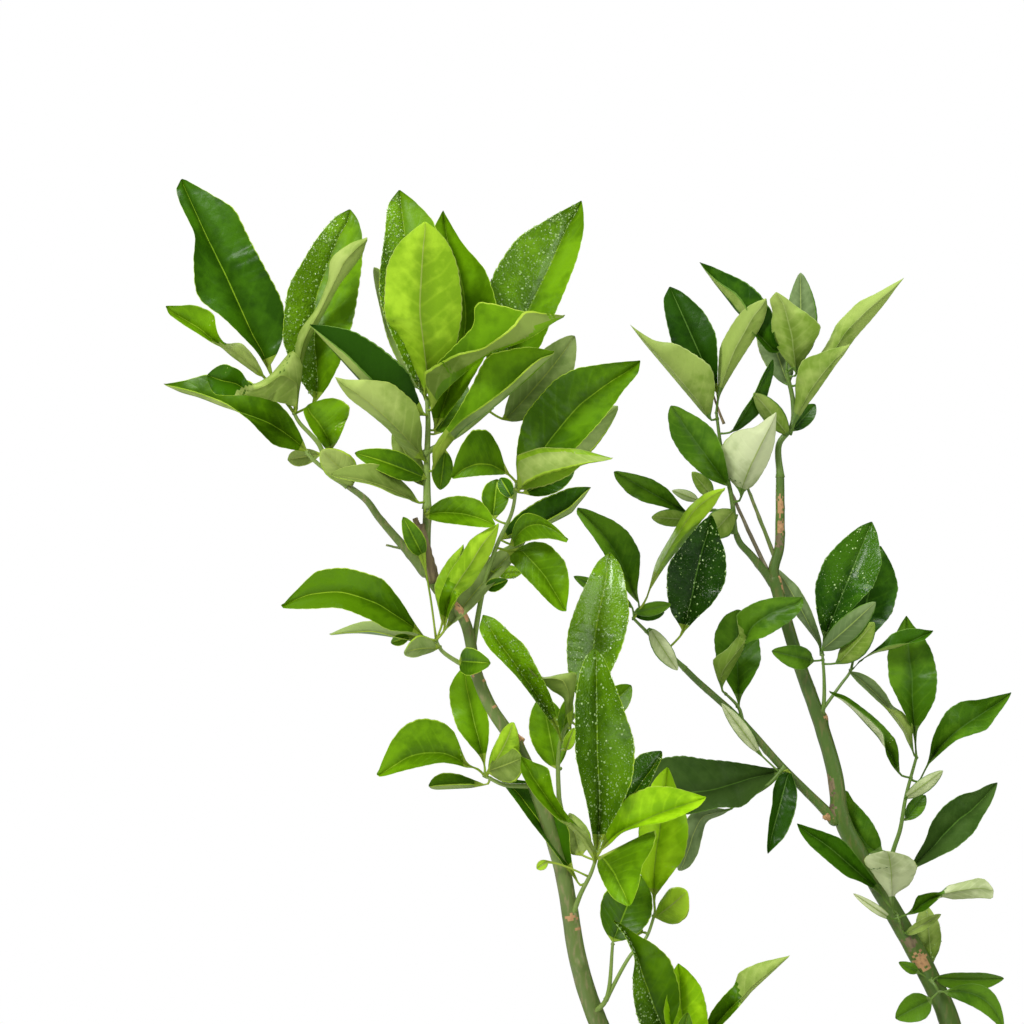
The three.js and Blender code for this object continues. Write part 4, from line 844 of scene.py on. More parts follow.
def addTwig(bag, points, fromRadius, toRadius, slot=0):
    shape, course = twigShape, courseOf(points, 24)
    shares = np.linspace(0, 1, max(shape["leastRows"], int(course["length"] / shape["stepLength"])))
    angle = anglesRound(shape["sides"])
    radius = lerp(fromRadius, toRadius, shares)
    radius *= 1 + shape["collar"] * np.exp(-shares * course["length"] / shape["collarLength"])
    radius[-1] *= shape["blunt"]
    radius = radius[:, None] * (1 + shape["ridge"] * np.cos(shape["ridges"] * angle))
    addRings(bag, tube(framed(course, shares), angle, radius), slot)


def addBud(bag, root, way, slot):
    size = twigShape["bud"]
    places = [root + way * size * ahead for ahead in twigShape["budPlaces"]]
    addTwig(bag, places, *(size * share for share in twigShape["budRadii"]), slot)


def nearestOnTwigs(twigs, target):
    places = []
    for points in twigs:
        for a, b in zip(points, points[1:]):
            inset = unit(b - a) * twigShape["inset"]
            a, b = a + inset, b - inset
            places.append(lerp(a, b, np.clip(np.dot(target - a, b - a) / np.dot(b - a, b - a), 0, 1)))
    return min(places, key=lambda place: np.linalg.norm(place - target))


# Sprays of the front view, their places on the sheet. Each leaf: finish, with the other face's finish after a
# slash, foot right, foot up, reach, bearing, out, width, then its edges or else its roll, bow and sweep, and what
# else it needs. The tip lies at the reach and bearing from the foot, and out is how far it lies behind the foot, or
# in front where negative. Edges are rows of share, left edge, midrib and right edge, in hundredths of the length as
# the eye sees it. Roll 0 shows the upper face to the eye and 180 the underside. A leaf with a turn shows its other
# face from that share on.
# A leaf's finish stands partly for its own tone and partly for painted light and shade on it.
leafFields = ("right", "up", "reach", "bearing", "out", "width", "roll", "bow", "sweep")
wetAll, wetLeft = {"wet": "all"}, {"wet": "left"}
frontSprays = {
    "left_crown": {
        "radius": 2,
        "twigs": [
            [(213.5, 260), (213.5, 282), (214, 301), (213.5, 314)],
            [(213.5, 286), (231, 296, 9), (247, 309, 14)]],
        "leaves": [
        ("fresh", 212.5, 312, 106, 97, 10, 39, [(20, -8, 0, 8), (50, -15, 0, 18), (80, -9, 0, 15), (93, -6, 0, 7)],
         wetLeft),
        ("light/fresh", 212.5, 315, 86.5, 90, -16, 34, [(10, -4, 1, 14), (30, -16, -1, 19), (50, -24, -3, 22),
         (70, -23, -2, 20), (85, -17, -1, 15), (95, -7, 0, 7)]),
        ("fresh", 217.5, 297, 110, 88, 26, 31, [(20, -4, 6, 14), (50, -2, 12, 26), (70, -4, 9, 21), (85, -5, 3, 9)]),
        ("fresh", 247.5, 314.5, 106.5, 66, 16, 41, [(10, -8, -2, 5), (30, -19, -2, 10), (50, -23.5, -1.5, 10),
         (68, -21, -1, 9.5), (85, -11, -1, 7), (95, -3.5, 0, 3)], wetLeft),
        ("fresh/olive", 216, 307, 82, 35, -26, 27, [(10, -20, -4, -22), (30, -24, -7, -20), (50, -28, -8, -13),
         (60, -38, -5, -13), (70, -30, -2, -14), (80, -18, -1, -17), (90, -9, -1, -9)]),
        ("fresh/grey", 216.5, 276.5, 85.5, 44, -7, 28, [(10, -10, -3, -8), (30, -14, -5, -10), (50, -20, -2, -7),
         (70, -26, -0.5, -5), (80, -21, 0, -5), (90, -14, 0, -4), (97, -5, 0, -1)]),
        ("dark/pale", 212.5, 304.5, 73.5, 142, -12, 25, [(10, 0, -10, 6), (30, -4, -12, 17), (50, -2, -9, 18),
         (70, 0, -5.5, 16), (90, 0, -2, 7)]),
        ("pale/deep", 212, 282, 61, 137, -26, 26, [(10, -5, 2, 8), (20, -5, 3, 19), (40, -2, 4, 30), (60, -3, 4, 29),
         (80, -5, 2, 16), (92, -3, 0, 5)]),
        ("olive/deep", 211.5, 269.5, 31, 119, 12, 12),
        ("mid", 222.5, 287, 20, -97, 10, 11),
        ("mid", 218, 295, 30, 60, 22, 14),
        ("grey/deep", 210, 318, 66, 112, 36, 22, 150),
        ("grey/fresh", 252.5, 302, 55, 50, 24, 24, 20),
        ("mid/grey", 212.5, 273, 37.5, 160, -8, 14, 20),
        ("olive/deep", 209, 260.5, 46, 162, -24, 22, 62, 0.06),
        ("fresh", 212, 253.5, 36, -7, -24, 22, [(10, -18, -6, 3), (30, -32, -10, 5), (50, -36, -11, 5),
         (70, -34, -9, 5), (90, -18, -4, 4)])]},
    "left_outer_spray": {
        "radius": 1.6,
        "twigs": [
            [(172, 270.5), (164, 276), (160, 289), (149.5, 301), (146.5, 306.5)],
            [(166, 275), (158.5, 280.5), (152.5, 286.5)]],
        "leaves": [
        ("deep", 134, 327, 105, 114, 6, 39, [(8, -1, 1, 10), (20, -5, 0, 18), (30, -9, 0, 19.5), (45, -16, 0, 18.5),
         (60, -11.5, -0.5, 17.5), (74, -5.5, -1, 17), (88, -6, -1, 9), (96, -5, -1, 3)]),
        ("fresh", 158, 311, 98, 80, 24, 38, [(10, -10, -1, 5), (30, -22, -6, 10), (50, -23.5, -9, 11.5),
         (70, -18, -6, 11), (85, -12, -3, 9), (95, -6, 0, 5)], wetLeft),
        ("pale/fresh", 148.5, 319.5, 82, 64, -4, 25, [(10, -7, -4, -2), (30, -13, -8, -5), (50, -10, -7, -4),
         (65, -11, -7, -3.5), (78, -15, -7, -1), (90, -10, -4, 1), (97, -4, -1, 0)]),
        ("pale/deep", 148.5, 308, 48, 160, -26, 31, [(10, 0, 25, 45), (25, -2, 28, 56), (40, -3, 10, 22),
         (55, -6, 0, 8), (70, -12, 2, 17), (85, -16, 0, 18), (95, -8, 0, 10)], {"turn": 0.58}),
        ("pale/fresh", 132.5, 323, 61.5, 144, -8, 21, [(8, -2, 1, 5), (20, -2, 2, 10), (32, -2, 3, 12), (44, -1, 1, 4),
         (52, -2, 0, 7), (66, -3, 1, 18), (80, -4, 0, 15), (92, -4, -1, 6)], {"turn": 0.45}),
        ("mid/pale", 154, 286, 80, 155, 12, 25, [(10, -3, 3, 9), (20, -5, 5, 16), (30, -2, 6, 20), (43, 3, 5, 24),
         (60, 6, 3, 25), (75, 5, 2, 19), (90, 2.5, 0, 7)]),
        ("olive/deep", 160, 285, 17, 190, 16, 9),
        ("fresh", 165, 286, 26.4, 117, -16, 25, [(10, -5, 6, 20), (30, -9, 8, 45), (60, -13, 5, 72), (85, -12, 0, 58),
         (95, -8, 0, 36)], {"wave": 0.3}),
        ("pale/deep", 177.5, 269.5, 24, 134, -14, 16, 165, 0.06)]},
    "left_upper_spray": {
        "radius": 1.5,
        "twigs": [
            [(236, 185, 2), (241.5, 217, 3), (248.5, 239.5), (256, 256), (258.5, 272)]],
        "leaves": [
        ("light/pale", 259, 267, 50.5, 18, -20, 24, [(10, -3, -34, 3), (30, -6, -34, 5), (50, -5, -28, 3),
         (70, -4, -20, -3.5), (90, -1, -7, -1)]),
        ("mid", 260, 267, 88.5, 47, 20, 37, [(10, -12, -3, 3), (20, -20, -5, 6), (35, -27, -7, 7), (55, -28, -8, 7),
         (70, -24, -6, 6), (80, -17, -4, 4.5), (92, -7, -1, 4)]),
        ("grey/deep", 267, 277, 52, 37, 36, 20, 170),
        ("deep", 262.5, 265.5, 28, 27, 16, 14),
        ("deep", 256, 263, 12, 120, 10, 8),
        ("mid", 253.5, 275.5, 28.2, 186, -34, 26, [(10, -2, 6, 50), (30, -1, 18, 82), (50, 0, 21, 84), (70, 0, 17, 66),
         (88, 0, 8, 36)]),
        ("mid", 246.5, 253, 20, 84, 15, 14),
        ("fresh", 255, 236, 41, -47, -12, 26, [(10, -30, -12, 8), (30, -42, -12, 8), (50, -42, -11, 7.5),
         (65, -36, -8, 7.5), (80, -24, -5, 7), (92, -10, -2, 5)]),
        ("fresh", 256, 239.5, 29, 3, -22, 14, 20, 0.1, -0.3),
        ("deep/grey", 250, 242, 52.7, 30.2, 22, 19, [(10, -7, 4, 0), (30, -13, 8, 3), (50, -14, 11, 6),
         (70, -11.5, 12, 6), (80, -10, 8.5, 4), (90, -6, 5, 1.5)]),
        ("deep", 243, 218, 12, 20, -6, 7),
        ("bright", 247, 226, 14, 0, 8, 7, wetAll)]},
    "left_side_spray": {
        "radius": 1.5,
        "twigs": [
            [(237, 176.5, -1), (221, 186.5, -4), (217.5, 193, -5)]],
        "leaves": [
        ("mid", 213.5, 192, 75.2, 167.7, -14, 26, [(10, 3, 6, 9), (25, 1, 12, 24), (40, 5, 17, 34), (60, 8, 19, 35.5),
         (80, 3.5, 14, 30), (92, 1, 7, 14)]),
        ("grey/deep", 214, 190, 50, 173, 10, 20, 72, 0.04),
        ("mid", 205, 194, 10, 200, 8, 6),
        ("grey/mid", 219, 188, 17, 188, -14, 12, 150, 0.1),
        ("mid", 230, 181.5, 15.5, -4, -15, 14, 0, 0.06),
        ("fresh/light", 222.5, 197, 60, 63, -20, 22, [(8, -8, -4, -2), (20, -16, -8, -4), (32, -18, -9, -2),
         (45, -19, -8, 3.5), (60, -17, -6, 5), (75, -16, -5, 5.5), (90, -8, -2, 3)], {"turn": 0.33}),
        ("light/pale", 221, 199.5, 42, 75, -6, 16, [(15, -8, -1, 5), (45, -21, -2, 11), (75, -14, -1, 8)]),
        ("grey/fresh", 224.5, 199.5, 57.5, 48, 14, 14, -30),
        ("mid", 211.5, 234, 22, 117, -10, 10)]},
    "left_inner_spray": {
        "radius": 1.5,
        "twigs": [
            [(267, 119, 0), (252.5, 119.5, 0), (248.5, 121, 0), (241, 125, 0)]],
        "leaves": [
        ("fresh", 242.5, 128, 52, 102, 26, 22, [(10, -2, 0, 3), (25, -10, 0, 9), (45, -18.5, -1, 13),
         (65, -20, -1, 11), (80, -18, -1, 7), (92, -10, 0, 4)]),
        ("fresh", 238, 128, 50, 185, -10, 24, [(8, 1, 3, 6), (20, 5, 12, 40), (35, 8, 18, 51), (50, 6.5, 19, 54),
         (65, 4.5, 17, 50), (80, 2, 10, 37), (92, 0, 4, 17)]),
        ("mid/grey", 243.5, 119.5, 29.5, 180, 6, 14, [(10, 0, -2, 4), (30, 2, -5.5, 12), (50, 2, -6.5, 19),
         (70, 1, -7.5, 21), (85, 0, -8, 17), (95, -2, -6, 8)]),
        ("light/mid", 244.5, 126, 28, 63, -12, 15, 150, 0.06),
        ("olive/mid", 244, 126.5, 18, 21, -16, 18, 168, 0.06)]},
    "left_tall_spray": {
        "radius": 1.5,
        "twigs": [
            [(276, 92, 2), (281, 102, 5), (279.5, 114, 6), (280.5, 142.5, 6), (288.5, 156, 7)]],
        "leaves": [
        ("fresh", 292.5, 157, 80, 81, 16, 31, [(10, -8, 0, 8), (25, -15, 0, 12), (45, -18, -1, 17), (60, -16, -1, 18),
         (80, -11, 0, 13), (92, -7, 0, 8)], wetAll),
        ("fresh", 280.5, 142.5, 73.5, 122, -10, 24, [(10, 0, 2, 4), (30, -1, 2, 10), (50, -3, 1, 12), (65, -6, 0, 13),
         (80, -9, -1, 9), (92, -8, -1, 6)], wetAll),
        ("fresh", 278, 128, 37, 101, 20, 20),
        ("fresh/light", 280.5, 142, 23, 79, 10, 8),
        ("olive/mid", 285.5, 147.5, 38, 125, -14, 22, [(10, 2, 5, 9), (25, 8, 13, 21), (39, 15, 24, 34),
         (57, 8, 28, 48), (69, 5, 18, 28), (77, 2, 6, 10), (90, -1, 1, 3)]),
        ("light/fresh", 283, 137, 12, 70, -6, 6),
        ("fresh", 292.5, 147, 32, 44, 30, 15)]},
    "left_front_spray": {
        "radius": 1.5,
        "twigs": [
            [(285.5, 52, -1), (290, 64.5, -6), (295.5, 75.5, -10), (298, 83, -12)]],
        "leaves": [
        ("mid", 298, 82, 106, 90.5, -8, 34, [(10, -1.5, 1, 3.5), (25, -4, 2, 12), (40, -7.5, 1.5, 18),
         (52, -9.5, 1, 19), (70, -9.5, 1, 14), (85, -7.5, 1, 8.5), (95, -4.5, 1, 4.5)], wetAll),
        ("deep", 300, 87, 58.5, 58, 16, 24, [(10, -3, 0, 3), (30, -8, -1, 6), (50, -14, -1, 8), (70, -17, 0, 6),
         (85, -15, 1, 4), (95, -7, 1, 3)], wetAll),
        ("bright", 300, 86, 60, 27, -20, 22, [(10, -10, -5, -2), (25, -22, -8, -6), (45, -31, -7, -2),
         (60, -30, -6, 2.5), (75, -23, -4, 4), (88, -12, -2, 4)]),
        ("fresh", 300, 83.5, 28.7, -58.5, -34, 25, [(2, -30, -2, 4), (6, -85, -3, 10), (13, -112, -4, 14),
         (25, -104, -5, 17), (39, -86, -6, 19), (50, -62, -5, 20), (62, -48, -4, 20), (75, -36, -3, 18),
         (88, -20, -1, 11), (96, -9, 0, 5)]),
        ("pale/fresh", 297.5, 81, 64.5, 125, -12, 20, [(8, 0, 3, 6), (20, 1, 4, 7.5), (33, -1, 2, 5),
         (45, -5, -2, 3.5), (60, -8, -2, 4.5), (70, -9, -2, 8.5), (80, -8.5, -2, 12), (90, -7, -1, 6)],
         {"turn": 0.36}),
        ("deep", 289.5, 69.5, 65.5, 127, 14, 22, [(10, 0, 2, 3), (25, 0, 3, 11), (40, 0, 4, 20), (60, -0.5, 5, 22),
         (80, 0, 5, 20), (95, 0, 3, 8)]),
        ("pale/grey", 290, 85, 22, 105, 22, 14, 170),
        ("light/fresh", 274, 81.5, 7, 215, 2, 5)]},
    "left_low_spray": {
        "radius": 1.4,
        "twigs": [
            [(297, 6, -3), (303, 12, -6), (306.5, 41.5, -4)],
            [(304, 14, -6), (315, 34, -4), (323, 43, 0), (328, 57, 2)]],
        "leaves": [
        ("mid", 306.5, 41.5, 36, 68, 18, 26),
        ("bright", 327, 63, 66, 84, 14, 27, [(10, -7, -1, 6), (20, -14, -2, 12), (35, -16, -2, 20), (50, -17, -1, 21),
         (70, -14, -1, 16), (85, -11, 0, 8), (95, -5, 0, 3)]),
        ("light/pale", 328, 53.5, 20, 40, -10, 18, 155, 0.06),
        ("light/fresh", 321, 46, 17, 155, 8, 10, 170, 0.06)]},
    "left_foot_spray": {
        "radius": 1.6,
        "twigs": [
            [(306, -24, -3), (325, -27, -12), (345, -22, -18)]],
        "leaves": [
        ("mid", 334, -10.5, 68.5, 114, -22, 29, [(10, -8, 2, 8), (25, -13, 2, 22), (40, -10, 3, 27), (55, -4, 4, 28),
         (70, 4, 6, 22), (82, 4, 6, 13), (93, 2, 4, 6)], wetLeft),
        ("bright", 346, -19, 50, 98, -6, 26, [(20, -20, -2, 20), (50, -22, -3, 23), (70, -16, -2, 21),
         (90, -8, 0, 10)]),
        ("mid/pale", 350, -8, 62, 43, -12, 23, [(10, -5, 0, 3), (25, -11, -1, 3), (40, -13, -2, 2), (50, -13.5, -2, 1),
         (60, -18, -3, 0), (75, -14, -2, 0), (90, -6, -1, 0)], {"turn": 0.45}),
        ("mid", 340, -16, 22, 80, -20, 12, 0, 0.06),
        ("fresh", 346, -24, 52, -30, -20, 24, 0, 0.12),
        ("mid", 338, -30, 50, 230, 14, 24, 30, 0.12)]},
    "right_crown": {
        "radius": 2,
        "twigs": [
            [(390, 275.5), (389.5, 290), (396, 299), (396.5, 311), (393, 327)]],
        "leaves": [
        ("rear/rearPale", 393, 336, 62.5, 134, 6, 20, [(10, -10, -6, 0), (30, -8, -6, 14), (50, 3, -6, 17),
         (60, 4, -5, 16), (70, 2, -4, 13), (80, 0, -3, 9), (90, -0.5, -1.5, 5)]),
        ("rearPale/rear", 398.5, 324.5, 43, 104, -12, 25, [(10, -4, 1, 8), (30, -13, 3, 27), (48, -17, 5, 40),
         (65, -15, 5, 30), (80, -10, 5, 17), (92, -10, 2, 8)]),
        ("rearGrey/rear", 400, 332, 44.5, 90, 16, 18, 170),
        ("rearGrey/rear", 394, 319.5, 40, 109, 22, 18),
        ("rearPale/rearMid", 398.5, 319.5, 76, 45, -8, 21, [(10, -5, 2, 10), (25, -4, 3, 9), (35, -6, 1, 8),
         (50, -10.5, -2, 5.5), (65, -10.5, -2, 4.5), (80, -6, -1, 3), (92, -2.5, 0, 1)]),
        ("rearPale/rear", 396, 294.5, 54, 57, -14, 22, [(10, -6, -5, -3), (30, -16, -7, -3), (45, -25, -8, -2),
         (62, -30, -7, -1.5), (78, -20, -5, -1), (90, -10, -2, 0)]),
        ("rear", 396, 296.5, 18, 49, 10, 10),
        ("rearPale/rear", 394, 294.5, 27.5, 129, -12, 12, 170)]},
    "right_crown_left_spray": {
        "radius": 1.5,
        "twigs": [
            [(367.3, 247.2), (366, 262), (361, 285), (358, 307)],
            [(366.5, 254), (356, 257), (346, 254.5)]],
        "leaves": [
        ("dark", 359, 314.5, 59.5, 114, 10, 24, [(10, -3, 1, 4), (30, -12, 0, 13), (50, -18, 0, 19), (65, -16, 0, 18),
         (80, -13, 0, 13), (92, -9, 0, 7)]),
        ("rearPale/rear", 355, 302, 62.5, 130, -12, 21, [(10, -1, 1, 12), (20, -1, 2, 22), (33, -1, 2, 28),
         (50, -1, 2, 24), (65, -1, 1.5, 18), (78, -1, 1, 7), (92, -0.5, 0, 2)]),
        ("rearPale/rear", 358.5, 309.5, 59, 65, -6, 19, [(10, -4, -2, -1), (30, -13, -5, 0.5), (50, -19, -6, 3),
         (65, -18, -5, 5), (80, -15, -4, 6), (92, -8, -1, 4)]),
        ("rear/rearPale", 366, 296, 42, 62, -10, 17, 62),
        ("rearMid", 365, 268.5, 50.5, 126, -12, 20, [(8, -6, -1, 4), (20, -13, -1, 10), (35, -17, -1, 16),
         (55, -20, -1, 20), (72, -18.5, -1, 16), (87, -12, 0, 9), (95, -7, 0, 5)]),
        ("rearWhite/rear", 370.5, 262, 47.5, 68, -16, 26, [(8, -6, -3, 0), (20, -28, -4, 7), (32, -44, -4, 10),
         (50, -40, -3, 12), (65, -33, -2, 11), (78, -15, -1, 8), (92, -6, 0, 3)]),
        ("rearPale/rear", 356, 264, 16, 130, 6, 9, 170),
        ("rearPale/rear", 367, 257, 17, 228, -12, 16, 175, 0.06),
        ("rearMid", 345, 254.5, 44, 150, 6, 15, [(10, -4, 0, 2.5), (25, -6, 0, 9), (40, -10, 0, 13.5),
         (55, -14, 0, 14), (70, -14.5, 0, 11), (85, -10.5, 0, 6.5), (95, -6, 0, 2.5)]),
        ("rearPale/rear", 345, 252, 19.5, 176, -6, 10, 170),
        ("rearWhite/rear", 349, 262, 14, 160, 4, 6, 175)]},
    "right_branch_tip_spray": {
        "radius": 1.4,
        "twigs": [
            [(341, 179, 5), (327.5, 192, 6), (316, 203.5, 6)]],
        "leaves": [
        ("dark", 341.5, 195.5, 60.8, 76.2, -10, 29, [(5, -4, 0, 3), (15, -14, 0, 8.5), (30, -21, 0, 18),
         (50, -25, -1, 23.5), (70, -18, -1, 19), (85, -11, 0, 10), (95, -5, 0, 4)], wetAll),
        ("light/rearMid", 323, 212, 69, 54, -18, 23, [(10, -4, -3, -2), (30, -11, -7, -3), (50, -13, -9, -2),
         (70, -15, -10, -1), (85, -12, -7, 0), (95, -6, -3, -1)]),
        ("rearMid", 320, 209.5, 58, 123, 10, 23, [(10, -2, 1, 4), (25, -4, 4, 16), (40, -4, 6, 25), (55, -2, 7, 26),
         (70, -2, 6, 22), (85, -3, 3, 13), (95, -3, 1, 6)]),
        ("rear", 317, 204.5, 15.5, 5, 6, 8),
        ("rearMid/rear", 317, 206, 19, 12, -8, 8, 170),
        ("rearWhite/rear", 325, 198, 25.5, -57, -12, 10, 170),
        ("rearMid", 316, 209, 33, 153, 16, 9)]},
    "right_branch_middle_spray": {
        "radius": 1.2,
        "twigs": [
            [(371, 152, -1), (369.5, 158, -1), (362, 166, 1)]],
        "leaves": [
        ("rearPale/rearMid", 361, 167, 61.5, 49, -16, 20, [(5, -10, -6, -2), (15, -22, -10, -4), (30, -19, -11, -7),
         (42, -19, -12, -9), (55, -31, -15, -2), (70, -27, -12, 3), (85, -17, -5, 6), (95, -6, 0, 5)], {"turn": 0.42}),
        ("rearMid", 369.5, 158, 49.5, 90, 14, 24, [(10, -3, 0, 2), (30, -14, -1, 14), (50, -23, -2, 22),
         (70, -25, -2, 20), (85, -20, -2, 14), (95, -12, -1, 8)])]},
    "right_branch_low_spray": {
        "radius": 1.3,
        "twigs": [
            [(391, 127, 2), (384, 119.5, 2), (368, 110, -2)]],
        "leaves": [
        ("rearDull", 391, 128, 70.4, 193, 20, 28, [(8, -7, -2, 2), (20, -13, -2, 7), (35, -20, -3, 13),
         (50, -17, -4, 18), (70, -17, -2, 25), (85, -14, 0, 26), (95, -8, 0, 14)]),
        ("rearGrey/rear", 365, 107, 40, 230, 12, 19, [(10, 3, 8, 16), (30, 12, 20, 34), (50, 4, 16, 34),
         (70, -5, 8, 28), (85, -7, 3, 18), (95, -4, 0, 8)]),
        ("dark", 395, 127, 43.5, 255, -8, 14, [(12, -9, 1, 12), (25, -15.5, 1, 13), (45, -18, 1, 9.5),
         (60, -17, 1, 8.5), (75, -14, 1, 6), (90, -6, 0, 3)]),
        ("rearWhite/rear", 379.5, 135.5, 31, 127, -9, 8, 175)]},
    "right_inner_spray": {
        "radius": 1.3,
        "twigs": [
            [(411, 153.5, 2), (412, 161.5, 2), (412, 174, 3), (411, 187, 3)],
            [(411.5, 157.5, 2), (421, 170.5, 0), (425, 176, 0), (427, 184, 0)]],
        "leaves": [
        ("rearGrey/rear", 410, 184.5, 49.4, 117, 10, 15, [(10, 3, 5, 7), (30, 0, 4, 11), (50, -4, 4, 13),
         (70, -6, 3, 12), (85, -5.5, 2, 7), (95, -3, 0, 3)]),
        ("rear", 412, 192, 64, 68, 10, 29, [(10, -8, 0, 4), (25, -17, 0, 9), (40, -22.5, 0, 15), (55, -23, 0, 20),
         (70, -19, 0, 19.5), (83, -13, 0, 13), (93, -7, 0, 7)], wetAll),
        ("rear", 426, 182, 59, 76, 24, 25, [(10, -6, 0, 2), (30, -14, 0, 15), (50, -18, 0, 23), (65, -18, 0, 23),
         (80, -14, 0, 17), (92, -6, 0, 8)]),
        ("rearGrey/rear", 411, 187, 36, 42, -14, 14, 168),
        ("rearPale/rear", 419, 180.5, 27.5, 48, -12, 14, 168),
        ("rear/rearPale", 425.5, 176.5, 46, 26, -8, 16, [(15, -6, -5.5, -5), (30, -9, -6, -8), (45, -12.5, -3, -7.5),
         (60, -17, 0, -4), (72, -15.5, 0, 1), (85, -10, 0, 4.5), (95, -3, 0, 2)]),
        ("rearMid", 406, 181.5, 21.5, 166, -14, 13, 0, 0.06)]},
    "right_outer_spray": {
        "radius": 1.5,
        "twigs": [
            [(441, 67, 1), (447, 88, 2), (450, 97, 2), (453, 114, 2), (458.5, 134.5, 2)]],
        "leaves": [
        ("rearMid", 458, 136, 68.5, 94, 6, 24, [(15, -1.5, 0, 2), (25, -5, 0, 9), (40, -11, 0, 17), (55, -16, 1, 19),
         (70, -16, 0, 17), (82, -11, 0, 12), (93, -5, 0, 4)]),
        ("rearPale/rearGrey", 457, 134.5, 53.4, 128, -10, 16, [(15, 3, 6, 10), (25, 5.5, 8, 17.5), (38, 6, 9, 17),
         (50, 6, 9, 13), (62, 4, 8, 15), (75, 2, 6, 14.5), (90, 0, 3, 9)], {"turn": 0.47}),
        ("rearMid/rearWhite", 450, 124.5, 55.3, 130.6, -14, 17, [(8, 0, 2, 6), (20, 2, 6, 15), (30, 8, 6, 18.5),
         (40, 14, 7, 18.5), (55, 13, 6.5, 17), (70, 10, 6, 14), (85, 6, 4, 10), (95, 1, 1, 4)]),
        ("rearMid", 459.5, 121, 64.5, 44, 4, 20, [(17, -7, -5.5, -4.5), (30, -16, -8, -4), (42, -21, -8, -3),
         (55, -24, -7, 2.5), (66, -22, -5, 7), (78, -13, -3, 5), (90, -6, -1, 3)]),
        ("rearWhite/rear", 452.5, 113, 23.5, 36, -8, 8, 170),
        ("rearMid", 453, 102, 16, 52, 6, 9),
        ("rearMid", 440, 87, 36, 124, 12, 18, [(5, -20, -8, 6), (20, -26, -12, 11), (40, -27, -12, 13),
         (60, -25, -11, 11), (80, -20, -8, 8), (93, -10, -4, 9)]),
        ("rearDull", 455, 77, 62, 45, 8, 20, [(10, -4, 0, 4), (25, -8, 0, 9), (40, -14.5, -1, 13.5),
         (55, -16.5, -1, 14.5), (70, -14, 1, 11), (83, -7, 1, 8), (93, -4, 0, 4)])]},
    "right_low_spray": {
        "radius": 1.3,
        "twigs": [
            [(446, 57, 3), (449, 54, 7), (450, 50, 9)]],
        "leaves": [
        ("rear", 442.5, 62, 58.5, 139, -6, 18, [(10, 1, 3, 5), (25, -2, 3, 9), (40, -7, 3, 12.5), (60, -7.5, 3, 15.5),
         (75, -7.5, 2, 11), (90, -5, 0, 4.5)]),
        ("rearWhite/rear", 446.5, 57, 30, 97, -28, 30, [(10, -2, 0, 3), (25, -5, 1, 7), (40, -13, 3, 33),
         (55, -22, 4, 44), (70, -30, 5, 50), (85, -39, 5, 40), (95, -33, 4, 18)]),
        ("rearMid/rearWhite", 452.5, 54.5, 46.3, 13.7, -12, 19, [(8, -4, -1, 1), (20, -17, -6, 1), (32, -17, -10, -4),
         (43, -15, -12, -9), (55, -20, -12, -4), (70, -20, -11, -1), (85, -20, -9, 2), (95, -16, -5, 5)],
         {"turn": 0.43}),
        ("rearPale/rear", 452.5, 44.5, 21, 30, 6, 6),
        ("rearWhite/rear", 445.5, 52.5, 23, 146, -6, 5)]},
    "right_foot_spray": {
        "radius": 1.3,
        "twigs": [
            [(464, 23, 3), (467, 20, 8), (470, 15, 10)]],
        "leaves": [
        ("rearPale/rearMid", 466, 28, 31.5, 95, 14, 15, [(10, -6, 0, 4), (30, -16, 0, 15), (50, -20, 0, 19.5),
         (70, -20, 0, 18), (85, -16, 0, 11), (95, -8, 0, 5)], wetAll),
        ("rearMid", 459, 26, 11, 153, -4, 6),
        ("rearMid", 465, 12, 20, 208, -6, 15),
        ("rearMid", 467.5, 23, 34.5, 0, 4, 12, 30),
        ("rearMid", 472.5, 16, 35, -33, -6, 13, 0, 0.05, -0.22)]},
}


def frontLeaf(twigs, row):
    tone, *given = row
    leaf = {"roll": 0, "bow": 0.05, "sweep": 0, "tone": tone}
    leaf.update(zip(leafFields, (value for value in given if not isinstance(value, (list, dict)))))
    for value in given:
        leaf.update({"edges": value} if isinstance(value, list) else value if isinstance(value, dict) else {})
    right, up, out, angle = leaf["right"], leaf["up"], leaf["out"], math.radians(leaf["bearing"])
    root = nearestOnTwigs(twigs, on(right, up, depthOf(twigs[0][-1])))
    footBehind = depthOf(root) + np.sign(out) * min(4, abs(out) / 4)
    foot = on(right, up, footBehind)
    tip = on(right + leaf["reach"] * math.cos(angle), up + leaf["reach"] * math.sin(angle), footBehind + out)
    return {**leaf, "root": root, "foot": foot, "tip": tip, "facing": unit(sheet["eye"] - foot)}


random = np.random.default_rng(7)
twigBag = newBag()
for twigSlot, side in enumerate(("left", "right")):
    leafBag = newBag()
    names = [name for name in frontSprays if name.startswith(side)]
    for name in names:
        spray = frontSprays[name]
        twigs = [laidOut(name, twig) for twig in spray["twigs"]]
        for k, points in enumerate(twigs):
            rooted = points[0] - unit(points[1] - points[0]) * twigShape["rootedIn"]
            fromRadius = spray["radius"] * (twigShape["sideRadius"] if k else 1)
            addTwig(twigBag, [rooted, *points], fromRadius, spray["radius"] * twigShape["tipRadius"], twigSlot)
        for row in spray["leaves"]:
            leaf = frontLeaf(twigs, row)
            face = addLeaf(leafBag, leaf, random)
            addBud(twigBag, leaf["root"], unit(leaf["foot"] - leaf["root"] + vec(0, 0, 1)), twigSlot)
            if "wet" in leaf:
                shaded = leaf["tone"].startswith(("rear", "dark"))
                wetLeaf(face, leaf["wet"], random, dropShape["shadedShare"] if shaded else 1)
    addMesh("leaves_" + side, leafBag, leafMaterials.values(), names)

